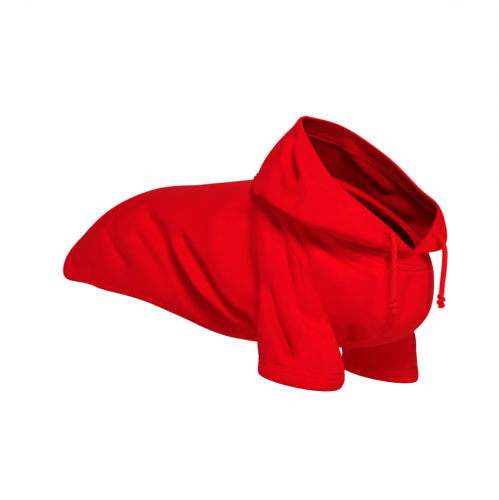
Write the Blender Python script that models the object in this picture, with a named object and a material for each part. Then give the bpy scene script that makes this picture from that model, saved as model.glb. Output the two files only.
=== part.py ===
# Dog hoodie: a short-sleeved pet sweatshirt with a turned-back hood, kept in the shape that it has when worn.
# Metres, +X towards the wearer's head, +Y to its left, +Z up.
# The origin is on the withers, under the cloth of the back, where the garment sits.

import math

import bmesh
import bpy
from mathutils import Vector

# Driving sizes of the garment
BACK_LENGTH = 0.290
CHEST_DEPTH = 0.150
CHEST_WIDTH = 0.152
CLOTH = 0.0020
BAND_CLOTH = 0.0030
SEAM_GAP = 0.0008
NECK_BAND_WIDTH = 0.0075
BODY_HEM_WIDTH = 0.017
SLEEVE_HEM_WIDTH = 0.015
CUFF_RADIUS = 0.0345
CUFF_SPREAD = 0.061
CUFF_DROP = 0.176
CUFF_TILT = math.radians(13)
SLEEVE_EASE = 0.070
HOOD_HEIGHT = 0.056
HOOD_BULGE = 0.040
HOOD_RISE = 0.0040
CASING_WIDTH = 0.019
FOLD_DEPTH = 0.0055
FOLD_WIDTH = 0.0135
CORD_DIAMETER = 0.0048
KNOT_RADIUS = 0.0047
KNOT_LENGTH = 0.0125
CORD_GAP = 0.0003

# How finely the cloth is divided
AROUND = 44
BEFORE_ROWS = 6
REAR_ROWS = 13
ARMHOLE_COLUMNS = 12
ARMHOLE_ROWS = 6
ARMHOLE_COLUMN = 14
ARMHOLE_REACH = 2.2
SLEEVE_FLARE = 8
SLEEVE_INSET = 0.0039
SLEEVE_STEP = 0.03
SLEEVE_ROWS = 7
HOOD_ROWS = 10
HOOD_COLUMNS = 44
LINE_STEPS = 28
WALK_STEP = 0.01
FOLD_STEPS = 8
TINY = 1e-4
MERGE = 1e-6

# The trunk's sections, from the neck seam to the hem over the tail.
# x is a share of BACK_LENGTH, z of CHEST_DEPTH and half_width of CHEST_WIDTH.
# widest is how far down the section its widest level lies, and fullness how square it is.
TRUNK_COLUMNS = ("top_x", "top_z", "low_x", "low_z", "half_width", "widest", "fullness")
TRUNK_SECTIONS = (
    (0.010, 0.030, 0.359, -0.465, 0.382, 0.50, 2.1),
    (-0.028, 0.012, 0.368, -0.660, 0.461, 0.52, 2.2),
    (-0.083, 0.007, 0.336, -0.870, 0.493, 0.54, 2.3),
    (-0.159, 0.000, 0.207, -0.985, 0.500, 0.56, 2.4),
    (-0.276, -0.005, -0.034, -0.990, 0.500, 0.58, 2.5),
    (-0.431, -0.010, -0.259, -0.965, 0.493, 0.60, 2.5),
    (-0.614, -0.015, -0.448, -0.965, 0.480, 0.60, 2.5),
    (-0.821, -0.118, -0.638, -1.000, 0.454, 0.60, 2.2),
    (-0.995, -0.335, -0.830, -1.030, 0.408, 0.58, 2.0),
)

# Where the hem lies round the trunk: the angle from the spine as a share of half a turn,
# and how far along the trunk the cloth reaches there.
HEM_LINE = (
    (0.00, 0.965),
    (0.15, 0.985),
    (0.30, 0.997),
    (0.40, 0.975),
    (0.50, 0.880),
    (0.60, 0.750),
    (0.70, 0.662),
    (0.80, 0.618),
    (0.90, 0.590),
    (1.00, 0.560),
)

# How far along the trunk the armholes' front and rear edges lie, at each share of half a turn from the spine.
ARMHOLE_LINES = (
    (0.00, 0.210, 0.425),
    (0.32, 0.210, 0.425),
    (0.61, 0.280, 0.450),
    (0.86, 0.370, 0.500),
    (1.00, 0.390, 0.510),
)

# The sleeves, on the wearer's left (1) and right (-1): how far forward of the origin the cuff is, and how much
# the sleeve's front swells forward as it leaves the armhole (push) and comes back as it reaches the cuff (lean).
SLEEVE_COLUMNS = ("forward", "push", "lean")
SLEEVE_SIDES = {1: (0.0272, 0.0, 0.0), -1: (0.0317, 0.5, 0.6)}

# The hood, from the middle of the back to the point of the V, in shares of half a turn round the neck.
# rim_x is a share of BACK_LENGTH, rim_y of CHEST_WIDTH and rim_z of HOOD_HEIGHT.
# The bulges are shares of HOOD_BULGE: out and down from the seam, and out and down from the rim.
HOOD_SECTIONS = (
    ("around", "rim_x", "rim_y", "rim_z", "seam_out", "seam_down", "rim_out", "rim_down"),
    (0.00, -0.024, 0.000, 1.000, 2.15, 0.30, 0.80, 0.30),
    (0.20, 0.035, 0.205, 0.860, 1.85, 0.56, 1.00, 1.60),
    (0.40, 0.142, 0.360, 0.375, 1.40, 0.91, 0.80, 1.40),
    (0.60, 0.240, 0.415, -0.160, 0.95, 0.75, 0.55, 0.70),
    (0.80, 0.312, 0.400, -0.480, 0.55, 0.45, 0.20, 0.25),
    (0.92, 0.354, 0.178, -0.920, 0.30, 0.20, 0.10, 0.10),
    (1.00, 0.352, 0.012, -1.232, 0.10, 0.00, 0.05, 0.00),
)
HOOD_LEAST = 0.010
CASING_END = 0.995

# The cords hang from the eyelets, down the chest, with the points of each route chosen by hand.
CORD_ROUTES = {
    "left": (
        (0.1100, 0.0315, -0.0533),
        (0.1137, 0.0324, -0.0588),
        (0.1158, 0.0330, -0.0660),
        (0.1160, 0.0328, -0.0740),
        (0.1156, 0.0320, -0.0840),
        (0.1148, 0.0310, -0.0940),
        (0.1142, 0.0303, -0.1040),
    ),
    "right": (
        (0.1106, -0.0387, -0.0548),
        (0.1134, -0.0400, -0.0594),
        (0.1146, -0.0407, -0.0660),
        (0.1147, -0.0408, -0.0740),
        (0.1142, -0.0405, -0.0845),
        (0.1136, -0.0402, -0.0965),
        (0.1132, -0.0400, -0.1085),
    ),
}
CORD_POINTS = 15
KNOT_SIDES = 10
# How wide the knot is at equal steps down it, in shares of KNOT_RADIUS.
KNOT_PROFILE = (0.55, 0.95, 1.00, 0.72, 0.92, 0.90, 0.50)

# Folds of the cloth. Each runs through three places and is a valley, or a ridge where its depth is less than 0.
# side is 1 on the wearer's left and -1 on its right. depth is a share of FOLD_DEPTH and width of FOLD_WIDTH.
# A place is two numbers, a and b. On the trunk a is how far along it and b the angle from the spine,
# as a share of half a turn.
FOLD_COLUMNS = ("side", "a1", "b1", "a2", "b2", "a3", "b3", "depth", "width")
TRUNK_FOLDS = (
    (-1, 0.70, 0.33, 0.62, 0.47, 0.54, 0.75, 1.10, 1.20),
    (-1, 0.65, 0.39, 0.59, 0.50, 0.53, 0.70, -0.60, 0.90),
    (-1, 0.57, 0.44, 0.53, 0.57, 0.50, 0.72, 0.90, 1.00),
    (-1, 0.75, 0.34, 0.69, 0.47, 0.63, 0.58, 0.75, 1.00),
    (-1, 0.83, 0.28, 0.80, 0.42, 0.77, 0.49, 0.60, 0.90),
    (-1, 0.59, 0.58, 0.54, 0.66, 0.51, 0.76, 0.50, 0.80),
    (-1, 0.97, 0.34, 0.93, 0.40, 0.87, 0.45, 0.40, 0.80),
    (-1, 0.82, 0.26, 0.78, 0.23, 0.73, 0.22, 0.45, 0.70),
    (-1, 0.24, 0.35, 0.27, 0.43, 0.30, 0.50, 0.60, 0.80),
    (-1, 0.17, 0.39, 0.20, 0.47, 0.24, 0.54, 0.60, 0.80),
    (-1, 0.16, 0.45, 0.14, 0.57, 0.14, 0.73, 0.80, 0.80),
    (-1, 0.14, 0.50, 0.11, 0.62, 0.10, 0.75, 0.50, 0.70),
    (-1, 0.31, 0.79, 0.34, 0.85, 0.37, 0.90, 0.80, 0.80),
    (-1, 0.08, 0.99, 0.16, 0.97, 0.25, 0.96, 0.50, 0.90),
    (1, 0.68, 0.31, 0.61, 0.44, 0.55, 0.64, 1.00, 1.20),
    (1, 0.60, 0.42, 0.56, 0.55, 0.52, 0.70, 0.80, 1.00),
    (1, 0.78, 0.32, 0.73, 0.42, 0.69, 0.50, 0.75, 1.00),
    (1, 0.85, 0.28, 0.80, 0.40, 0.76, 0.50, 0.60, 0.90),
    (1, 0.22, 0.36, 0.24, 0.46, 0.28, 0.54, 0.60, 0.80),
    (1, 0.17, 0.44, 0.15, 0.56, 0.13, 0.71, 0.80, 0.80),
    (1, 0.33, 0.79, 0.35, 0.86, 0.38, 0.91, 0.80, 0.80),
)
# On a sleeve a is the share of a turn round it, from its front upper corner, and b how far down it.
SLEEVE_FOLDS = (
    (-1, 0.11, 0.40, 0.10, 0.60, 0.03, 0.74, 0.90, 0.90),
    (-1, 1.01, 0.44, 0.90, 0.38, 0.85, 0.28, 0.90, 0.90),
    (-1, 1.00, 0.60, 0.94, 0.55, 0.87, 0.42, 0.50, 0.70),
    (-1, 0.03, 0.05, 0.01, 0.17, 0.00, 0.32, 0.60, 0.80),
    (1, 0.12, 0.42, 0.09, 0.60, 0.04, 0.76, 0.80, 0.90),
    (1, 1.00, 0.48, 0.91, 0.42, 0.85, 0.30, 0.80, 0.90),
    (1, 0.02, 0.06, 0.02, 0.18, 0.01, 0.34, 0.60, 0.80),
)
# On the hood a is the share of half a turn round the neck, and b how far up it from the seam to the rim.
HOOD_FOLDS = (
    (-1, 0.28, 0.86, 0.36, 0.70, 0.48, 0.66, 0.70, 0.80),
    (-1, 0.26, 0.40, 0.37, 0.46, 0.50, 0.47, 0.50, 0.80),
    (-1, 0.04, 0.62, 0.10, 0.50, 0.18, 0.42, 0.60, 0.90),
    (1, 0.26, 0.84, 0.36, 0.70, 0.50, 0.66, 0.70, 0.80),
    (1, 0.20, 0.42, 0.33, 0.46, 0.47, 0.48, 0.50, 0.80),
    (1, 0.03, 0.50, 0.08, 0.40, 0.14, 0.32, 0.60, 0.90),
)


def lerp(a, b, share):
    return a + (b - a) * share


def smooth(low, high, value):
    share = min(1.0, max(0.0, (value - low) / (high - low)))
    return share * share * (3 - 2 * share)


def hermite(start, leave, end, arrive, f):
    """The point at a share of a curve that leaves its start and arrives at its end along two directions."""
    return (
        start * (2 * f**3 - 3 * f**2 + 1)
        + leave * (f**3 - 2 * f**2 + f)
        + end * (3 * f**2 - 2 * f**3)
        + arrive * (f**3 - f**2)
    )


def spline(rows, place):
    """The row at a place counted in rows, on a smooth curve through all the rows."""
    last = len(rows) - 1
    k = min(last - 1, max(0, int(math.floor(place))))
    before, here, there, after = (rows[min(last, max(0, k + d))] for d in (-1, 0, 1, 2))
    return [hermite(b, (c - a) / 2, c, (d - b) / 2, place - k) for a, b, c, d in zip(before, here, there, after)]


def keyed(rows, key):
    """The rest of the row at a key, in a table whose first column rises."""
    for k in range(len(rows) - 1):
        if key <= rows[k + 1][0]:
            break
    share = (key - rows[k][0]) / (rows[k + 1][0] - rows[k][0])
    return spline([row[1:] for row in rows], k + share)


def power(value, exponent):
    return math.copysign(abs(value) ** exponent, value)


def slide(path, distance):
    """The point at a distance along a list of points."""
    for start, end in zip(path, path[1:]):
        step = (end - start).length
        if distance <= step:
            return start.lerp(end, distance / step)
        distance -= step
    return path[-1].copy()


def length_of(path):
    return sum((b - a).length for a, b in zip(path, path[1:]))


def spread(path, start, end, count):
    """Points at equal steps from one distance along a path to another."""
    return [slide(path, lerp(start, end, k / count)) for k in range(count + 1)]


def fold_paths(rows, surface):
    """Each fold of a table as points on a surface, with its depth and its width."""
    paths = []
    for row in rows:
        fold = dict(zip(FOLD_COLUMNS, row))
        places = ((fold["a1"], fold["b1"]), (fold["a2"], fold["b2"]), (fold["a3"], fold["b3"]))
        path = [surface(fold["side"], *spline(places, 2 * k / FOLD_STEPS)) for k in range(FOLD_STEPS + 1)]
        paths.append((path, fold["depth"] * FOLD_DEPTH, fold["width"] * FOLD_WIDTH))
    return paths


def crease(point, paths):
    """How far the folds lift the cloth at a point, and how far down they draw it where the sum is less than 0."""
    lift = 0.0
    for path, depth, width in paths:
        middle = path[len(path) // 2]
        if (point - middle).length > (path[0] - path[-1]).length + 3 * width:
            continue
        nearest = 1.0
        place = 0.0
        for k, (start, end) in enumerate(zip(path, path[1:])):
            run = end - start
            share = min(1.0, max(0.0, (point - start).dot(run) / run.length_squared))
            away = (point - start - run * share).length
            if away < nearest:
                nearest = away
                place = (k + share) / (len(path) - 1)
        q = nearest / width
        ends = smooth(0, 0.25, place) * smooth(1, 0.75, place)
        lift -= depth * ends * (1 - q * q) * math.exp(-q * q)
    return lift


def trunk(along, angle):
    """A point of the trunk's smooth form: along runs from neck to tail, angle from the spine to the left."""
    row = dict(zip(TRUNK_COLUMNS, spline(TRUNK_SECTIONS, along * (len(TRUNK_SECTIONS) - 1))))
    top = Vector((row["top_x"] * BACK_LENGTH, 0, row["top_z"] * CHEST_DEPTH + CLOTH / 2))
    low = Vector((row["low_x"] * BACK_LENGTH, 0, row["low_z"] * CHEST_DEPTH))
    centre = top.lerp(low, row["widest"])
    exponent = 2 / row["fullness"]
    rise = power(math.cos(angle), exponent)
    reach = power(math.sin(angle), exponent)
    towards = top - centre if rise > 0 else centre - low
    return centre + towards * rise + Vector((0, row["half_width"] * CHEST_WIDTH * reach, 0))


def trunk_cloth(along, angle):
    """A point of the trunk's cloth, folds included."""
    point = trunk(along, angle)
    across = trunk(along, angle + TINY) - trunk(along, angle - TINY)
    down = trunk(along + TINY, angle) - trunk(along - TINY, angle)
    return point + across.cross(down).normalized() * crease(point, TRUNK_PATHS)


def half_turn_share(angle):
    """How far an angle is from the spine, as a share of half a turn."""
    turned = angle % math.tau
    return min(turned, math.tau - turned) / math.pi


def hem_reach(angle):
    return keyed(HEM_LINE, half_turn_share(angle))[0]


def walk(angle, start, distance, step):
    """Where along the trunk a distance from a start lies, measured on the cloth at one angle."""
    here = trunk(start, angle)
    while True:
        there = trunk(start + step, angle)
        stride = (there - here).length
        if distance <= stride:
            return start + step * distance / stride
        distance -= stride
        start += step
        here = there


def neck_stitch(angle):
    return walk(angle, 0, NECK_BAND_WIDTH, WALK_STEP)


def band_end(angle):
    return walk(angle, 0, NECK_BAND_WIDTH + SEAM_GAP, WALK_STEP)


def hem_fold(angle):
    return walk(angle, hem_reach(angle), BODY_HEM_WIDTH, -WALK_STEP)


def hem_stitch(angle):
    return walk(angle, hem_reach(angle), BODY_HEM_WIDTH + SEAM_GAP, -WALK_STEP)


def trunk_along(row, angle):
    """Where a row of the torso's grid lies along the trunk."""
    front, rear = keyed(ARMHOLE_LINES, half_turn_share(angle))
    armhole_end = BEFORE_ROWS + ARMHOLE_ROWS
    if row <= BEFORE_ROWS:
        return lerp(band_end(angle), front, row / BEFORE_ROWS)
    if row <= armhole_end:
        return lerp(front, rear, (row - BEFORE_ROWS) / ARMHOLE_ROWS)
    return lerp(rear, hem_stitch(angle), (row - armhole_end) / REAR_ROWS)


def open_armhole(column, row):
    """Moves a place of the torso's grid so that each armhole's square of cells opens to an oval."""
    middle_row = BEFORE_ROWS + ARMHOLE_ROWS / 2
    for middle in (ARMHOLE_COLUMN, AROUND - ARMHOLE_COLUMN):
        across = (column - middle) / (ARMHOLE_COLUMNS / 2)
        down = (row - middle_row) / (ARMHOLE_ROWS / 2)
        square = max(abs(across), abs(down))
        if 1e-6 < square < ARMHOLE_REACH:
            round_share = 1 - smooth(1, ARMHOLE_REACH, square)
            pull = lerp(1, square / math.hypot(across, down), round_share)
            column = middle + across * pull * ARMHOLE_COLUMNS / 2
            row = middle_row + down * pull * ARMHOLE_ROWS / 2
            break
    return column, row


def torso_point(column, row):
    column, row = open_armhole(column, row)
    angle = math.tau * column / AROUND
    return trunk_cloth(trunk_along(row, angle), angle)


def armhole_place(turn):
    """The place on the armhole's edge, counted in cells from its middle, at a share of a turn round it."""
    edge = turn % 1 * 4
    part, share = int(edge), edge % 1 * 2 - 1
    across, down = ((-1, share), (share, 1), (1, -share), (-share, -1))[part]
    return across * ARMHOLE_COLUMNS / 2, down * ARMHOLE_ROWS / 2


def sleeve_ends(side, turn):
    """How a sleeve leaves the armhole and arrives at its cuff, at a share of a turn round it."""
    form = dict(zip(SLEEVE_COLUMNS, SLEEVE_SIDES[side]))
    across, down = armhole_place(turn)
    column = ARMHOLE_COLUMN + across
    middle = ARMHOLE_COLUMN
    if side < 0:
        column, middle = AROUND - column, AROUND - middle
    middle_row = BEFORE_ROWS + ARMHOLE_ROWS / 2
    column, row = open_armhole(column, middle_row + down)
    angle = math.tau * column / AROUND
    along = trunk_along(row, angle)
    start = trunk_cloth(along, angle)
    below = trunk(along, angle + side * SLEEVE_STEP) - trunk(along, angle)
    towards = Vector((across / ARMHOLE_COLUMNS, down / ARMHOLE_ROWS)).normalized()
    lowness = smooth(-1.0, 0.7, towards.x)
    inset = lerp(SEAM_GAP, SLEEVE_INSET, smooth(0, 0.2, lowness))
    start = start + (torso_point(middle, middle_row) - start).normalized() * inset
    frontness = smooth(0, 1, -towards.y)
    out = Vector((0, side * SLEEVE_FLARE, 0)) * lowness * (1 - lowness)
    out.x = form["push"] * frontness
    heading = (below.normalized().lerp(Vector((0, 0, -1)), lowness) + out).normalized()
    front = -towards.y * CUFF_RADIUS
    end = Vector((
        form["forward"] + front * math.cos(CUFF_TILT),
        side * (CUFF_SPREAD - towards.x * CUFF_RADIUS),
        -CUFF_DROP - front * math.sin(CUFF_TILT),
    ))
    ease = (SLEEVE_EASE**-4 + (start - end).length ** -4) ** -0.25
    arrive = Vector((-math.sin(CUFF_TILT) - form["lean"] * frontness, 0, -math.cos(CUFF_TILT)))
    return start, heading * ease, end, arrive * ease


def sleeve(side, turn, f):
    """A point of a sleeve's smooth form: turn is a share of a turn round it and f how far down it is."""
    return hermite(*sleeve_ends(side, turn), f)


def sleeve_line(side, turn):
    """The sleeve's cloth from the armhole to the cuff, at a share of a turn round it, folds included."""
    ends = sleeve_ends(side, turn)
    angle = side * math.tau * ARMHOLE_COLUMN / AROUND
    top = trunk(trunk_along(BEFORE_ROWS + ARMHOLE_ROWS / 2, angle), angle)
    cuff = Vector((SLEEVE_SIDES[side][0], side * CUFF_SPREAD, -CUFF_DROP))
    points = []
    for k in range(LINE_STEPS + 1):
        f = k / LINE_STEPS
        point = hermite(*ends, f)
        out = (point - top.lerp(cuff, f)).normalized()
        points.append(point + out * crease(point, SLEEVE_PATHS) * smooth(0, 0.15, f) * smooth(1, 0.85, f))
    return points


def hood(side, around, f):
    """A point of the hood's smooth form: around is a share of half a turn from the back to the V, f from seam to rim."""
    rim_x, rim_y, rim_z, seam_out, seam_down, rim_out, rim_down = keyed(HOOD_SECTIONS[1:], abs(around))
    angle = abs(around) * math.pi
    lean = trunk(0, 0) - trunk(0, math.pi)
    upright = Vector((-lean.z, 0, lean.x)).normalized() * -1
    seam = trunk(0, angle) + upright * HOOD_RISE
    outward = Vector((-math.cos(angle), math.sin(angle), 0)) * HOOD_BULGE
    down = Vector((0, 0, -HOOD_BULGE))
    rim = Vector((rim_x * BACK_LENGTH, rim_y * CHEST_WIDTH, rim_z * HOOD_HEIGHT))
    leave = seam + outward * seam_out + down * seam_down
    arrive = rim + outward * rim_out + down * rim_down
    g = 1 - f
    point = seam * g**3 + leave * 3 * g * g * f + arrive * 3 * g * f * f + rim * f**3
    return Vector((point.x, point.y * side, point.z))


def hood_line(around):
    """The hood's cloth from the neck seam to the rim, folds included. around is -1 and 1 at the V and 0 at the back."""
    side = -1 if around < 0 else 1
    away = abs(around)
    points = []
    for k in range(LINE_STEPS + 1):
        f = k / LINE_STEPS
        point = hood(side, away, f)
        up = hood(side, away, f + TINY) - hood(side, away, f - TINY)
        forward = hood(side, away + TINY, f) - hood(side, away - TINY, f)
        out = up.cross(forward).normalized() * side
        points.append(point + out * crease(point, HOOD_PATHS) * smooth(0, 0.1, f))
    return points


def casing_start(line):
    """How far from the neck seam the stitch line between the hood and its casing lies."""
    return max(0.0, length_of(line) - CASING_WIDTH)


def fabric(name, colour, roughness):
    made = bpy.data.materials.new(name)
    made.use_nodes = True
    shader = made.node_tree.nodes["Principled BSDF"]
    shader.inputs["Base Color"].default_value = (*colour, 1)
    shader.inputs["Roughness"].default_value = roughness
    shader.inputs["Metallic"].default_value = 0
    made.diffuse_color = (*colour, 1)
    return made


def sheet(name, columns, closed, thickness, material, hole=None):
    """A cloth piece through columns of points, made a solid wall of the given thickness."""
    across = len(columns) if closed else len(columns) - 1
    down = len(columns[0]) - 1
    work = bmesh.new()
    bmesh.ops.create_grid(work, x_segments=across, y_segments=down, size=1)
    if hole:
        cut = []
        for face in work.faces:
            middle = face.calc_center_median()
            if hole(int((middle.x + 1) / 2 * across), int((middle.y + 1) / 2 * down)):
                cut.append(face)
        bmesh.ops.delete(work, geom=cut, context="FACES")
    for vertex in work.verts:
        i = round((vertex.co.x + 1) / 2 * across)
        j = round((vertex.co.y + 1) / 2 * down)
        vertex.co = columns[i % len(columns)][j]
    if closed:
        bmesh.ops.remove_doubles(work, verts=work.verts, dist=MERGE)
    mesh = bpy.data.meshes.new(name)
    work.to_mesh(mesh)
    work.free()
    mesh.shade_smooth()
    made = bpy.data.objects.new(name, mesh)
    bpy.context.scene.collection.objects.link(made)
    wall = made.modifiers.new("cloth", "SOLIDIFY")
    wall.thickness = thickness
    wall.offset = 0
    made.data.materials.append(material)
    return made


def in_armhole(column, row):
    for middle in (ARMHOLE_COLUMN, AROUND - ARMHOLE_COLUMN):
        across = column - (middle - ARMHOLE_COLUMNS // 2)
        down = row - BEFORE_ROWS
        if 0 <= across < ARMHOLE_COLUMNS and 0 <= down < ARMHOLE_ROWS:
            return True
    return False


def build_torso(material):
    rows = range(BEFORE_ROWS + ARMHOLE_ROWS + REAR_ROWS + 1)
    columns = [[torso_point(column, row) for row in rows] for column in range(AROUND)]
    sheet("torso", columns, True, CLOTH, material, in_armhole)


def build_trunk_band(name, start, end, rows, material):
    """A band round the trunk between two lines, each a function from an angle to a place along the trunk."""
    columns = []
    for column in range(AROUND):
        angle = math.tau * column / AROUND
        first = start(angle)
        last = end(angle)
        columns.append([trunk_cloth(lerp(first, last, k / rows), angle) for k in range(rows + 1)])
    sheet(name, columns, True, BAND_CLOTH, material)


def armhole_turns():
    """Where the vertices of an armhole's edge lie, as shares of a turn round it."""
    turns = []
    for part in range(4):
        steps = ARMHOLE_COLUMNS if part % 2 else ARMHOLE_ROWS
        turns += [(part + k / steps) / 4 for k in range(steps)]
    return turns


def build_sleeves(material):
    for name, side in (("left", 1), ("right", -1)):
        upper = []
        band = []
        for turn in armhole_turns():
            line = sleeve_line(side, turn)
            whole = length_of(line)
            upper.append(spread(line, 0, whole - SLEEVE_HEM_WIDTH - SEAM_GAP, SLEEVE_ROWS))
            band.append(spread(line, whole - SLEEVE_HEM_WIDTH, whole, 1))
        sheet("sleeve_" + name, upper, True, CLOTH, material)
        sheet("sleeve_hem_" + name, band, True, BAND_CLOTH, material)


def hood_end():
    """How far round the neck the hood reaches before nothing but its casing is left."""
    low, high = 0.5, 1.0
    for _ in range(20):
        middle = (low + high) / 2
        if casing_start(hood_line(middle)) > HOOD_LEAST:
            low = middle
        else:
            high = middle
    return low


def build_hood(material):
    end = hood_end()
    lines = [hood_line(lerp(-end, end, k / HOOD_COLUMNS)) for k in range(HOOD_COLUMNS + 1)]
    columns = [spread(line, 0, casing_start(line), HOOD_ROWS) for line in lines]
    sheet("hood", columns, False, CLOTH, material)
    beyond = (lerp(end, CASING_END, 0.5), CASING_END)
    lines = [hood_line(-a) for a in reversed(beyond)] + lines + [hood_line(a) for a in beyond]
    columns = [spread(line, casing_start(line) + SEAM_GAP, length_of(line), 2) for line in lines]
    sheet("hood_casing", columns, False, BAND_CLOTH, material)


def cord_route(side):
    """Points of a cord's middle line, read from a smooth curve through its own points."""
    places = CORD_ROUTES[side]
    line = [Vector(spline(places, k / LINE_STEPS * (len(places) - 1))) for k in range(LINE_STEPS + 1)]
    return spread(line, 0, length_of(line), CORD_POINTS)


def build_cord(name, side, material):
    curve = bpy.data.curves.new(name, "CURVE")
    curve.dimensions = "3D"
    curve.bevel_depth = CORD_DIAMETER / 2
    curve.bevel_resolution = 2
    curve.use_fill_caps = True
    route = cord_route(side)
    line = curve.splines.new("POLY")
    line.points.add(len(route) - 1)
    for point, place in zip(line.points, route):
        point.co = (*place, 1)
    made = bpy.data.objects.new(name, curve)
    bpy.context.scene.collection.objects.link(made)
    made.data.materials.append(material)


def build_knot(name, side, material):
    """A knot below the cord's end: a profile spun about the line in which the cord arrives."""
    route = cord_route(side)
    way = (route[-1] - route[-2]).normalized()
    work = bmesh.new()
    bmesh.ops.create_cone(
        work, cap_ends=True, segments=KNOT_SIDES, radius1=KNOT_RADIUS, radius2=KNOT_RADIUS, depth=KNOT_LENGTH
    )
    bmesh.ops.subdivide_edges(
        work, edges=[e for e in work.edges if abs(e.verts[0].co.z - e.verts[1].co.z) > KNOT_LENGTH / 2],
        cuts=len(KNOT_PROFILE) - 2,
    )
    for vertex in work.verts:
        place = (vertex.co.z / KNOT_LENGTH + 0.5) * (len(KNOT_PROFILE) - 1)
        wide = KNOT_PROFILE[round(place)]
        vertex.co.x *= wide
        vertex.co.y *= wide
    mesh = bpy.data.meshes.new(name)
    work.to_mesh(mesh)
    work.free()
    made = bpy.data.objects.new(name, mesh)
    made.location = route[-1] + way * (KNOT_LENGTH / 2 + CORD_GAP)
    made.rotation_mode = "QUATERNION"
    made.rotation_quaternion = way.to_track_quat("-Z", "Y")
    bpy.context.scene.collection.objects.link(made)
    made.data.materials.append(material)


def clear_scene():
    for old in list(bpy.data.objects):
        bpy.data.objects.remove(old)


TRUNK_PATHS = fold_paths(TRUNK_FOLDS, lambda side, along, share: trunk(along, side * share * math.pi))
SLEEVE_PATHS = fold_paths(SLEEVE_FOLDS, sleeve)
HOOD_PATHS = fold_paths(HOOD_FOLDS, hood)


def main():
    clear_scene()
    red = fabric("red fleece", (0.78, 0.0, 0.012), 0.85)
    cord_red = fabric("red cord", (0.70, 0.0, 0.012), 0.70)
    build_trunk_band("neck_band", lambda angle: 0, neck_stitch, 1, red)
    build_torso(red)
    build_trunk_band("body_hem", hem_fold, hem_reach, 2, red)
    build_sleeves(red)
    build_hood(red)
    for side in CORD_ROUTES:
        build_cord("cord_" + side, side, cord_red)
        build_knot("knot_" + side, side, cord_red)


main()
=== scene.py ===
# %% [markdown]
# # A dog hoodie in red fleece
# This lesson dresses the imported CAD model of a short-sleeved dog sweatshirt. The garment has the form in
# which it is worn: a close trunk, two short sleeves, and a hood folded back on the shoulders. All sizes are
# in metres. +X runs towards the neck, +Y to the left and +Z up, and the origin is on top of the shoulders.

# %% Load the CAD frame
import math

import bmesh
import bpy
import numpy as np
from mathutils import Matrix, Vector


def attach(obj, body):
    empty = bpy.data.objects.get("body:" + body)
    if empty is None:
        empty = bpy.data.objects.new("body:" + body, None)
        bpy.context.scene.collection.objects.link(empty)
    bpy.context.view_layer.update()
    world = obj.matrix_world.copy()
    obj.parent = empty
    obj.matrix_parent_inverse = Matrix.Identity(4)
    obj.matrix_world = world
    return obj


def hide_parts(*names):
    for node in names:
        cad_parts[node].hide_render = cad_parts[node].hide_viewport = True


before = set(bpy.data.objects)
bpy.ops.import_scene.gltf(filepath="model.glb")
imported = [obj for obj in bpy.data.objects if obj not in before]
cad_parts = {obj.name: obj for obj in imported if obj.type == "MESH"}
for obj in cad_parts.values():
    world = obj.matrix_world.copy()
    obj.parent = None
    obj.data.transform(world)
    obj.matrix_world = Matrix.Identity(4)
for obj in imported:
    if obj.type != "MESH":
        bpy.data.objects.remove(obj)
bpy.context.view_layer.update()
print("CAD nodes:", sorted(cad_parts))

# %% [markdown]
# ## Camera
# The picture was taken level with the garment, from its right and a little in front, with a short telephoto
# lens. The lens is worked out from the number of pixels per metre at the origin, so the frame matches the
# picture.

# %% Camera at the height of the chest
PICTURE_WIDTH, PICTURE_HEIGHT = 499, 500
CAMERA_TURN = math.radians(38)
CAMERA_DISTANCE = 1.2
CAMERA_RISE = -0.105
PIXELS_PER_METRE = 1120
ORIGIN_PIXEL = (314, 178)
SENSOR = 36

to_right = Vector((math.cos(CAMERA_TURN), math.sin(CAMERA_TURN), 0))
towards_camera = Vector((math.sin(CAMERA_TURN), -math.cos(CAMERA_TURN), 0))
camera = bpy.data.objects.new("camera", bpy.data.cameras.new("camera"))
bpy.context.scene.collection.objects.link(camera)
camera.location = towards_camera * CAMERA_DISTANCE + Vector((0, 0, CAMERA_RISE))
aim = to_right * ((PICTURE_WIDTH / 2 - ORIGIN_PIXEL[0]) / PIXELS_PER_METRE)
aim.z = (ORIGIN_PIXEL[1] - PICTURE_HEIGHT / 2) / PIXELS_PER_METRE
camera.rotation_euler = (aim - camera.location).to_track_quat("-Z", "Y").to_euler()
camera.data.sensor_width = SENSOR
camera.data.lens = PIXELS_PER_METRE * CAMERA_DISTANCE / max(PICTURE_WIDTH, PICTURE_HEIGHT) * SENSOR
bpy.context.scene.camera = camera
print("lens", round(camera.data.lens, 1), "mm")

# %% [markdown]
# ## Colour and the node helper
# Every colour is a hex value as a screen shows it, turned to the linear values that the shader needs. One
# helper starts a material with the values of its finish, and one adds a node, sets what it is given, and
# links its sockets.

# %% Helpers for materials
def linear(hex_colour):
    """The linear colour, with alpha, of an sRGB hex value."""
    parts = [int(hex_colour[k : k + 2], 16) / 255 for k in (1, 3, 5)]
    return [c / 12.92 if c <= 0.04045 else ((c + 0.055) / 1.055) ** 2.4 for c in parts] + [1]


def start_material(name, finish):
    """A new material, its nodes and its shader, with the finish's values on the shader's own sockets."""
    material = bpy.data.materials.new(name)
    material.use_nodes = True
    shader = material.node_tree.nodes["Principled BSDF"]
    for socket, value in finish.items():
        shader.inputs[socket].default_value = value
    return material, material.node_tree, shader


def add(tree, kind, links=None, values=None, **settings):
    """Adds a node, with its settings, its sockets' values, and links from other nodes' sockets to its own."""
    node = tree.nodes.new(kind)
    for name, value in settings.items():
        setattr(node, name, value)
    for socket, value in (values or {}).items():
        node.inputs[socket].default_value = value
    for socket, source in (links or {}).items():
        tree.links.new(source, node.inputs[socket])
    return node


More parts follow.
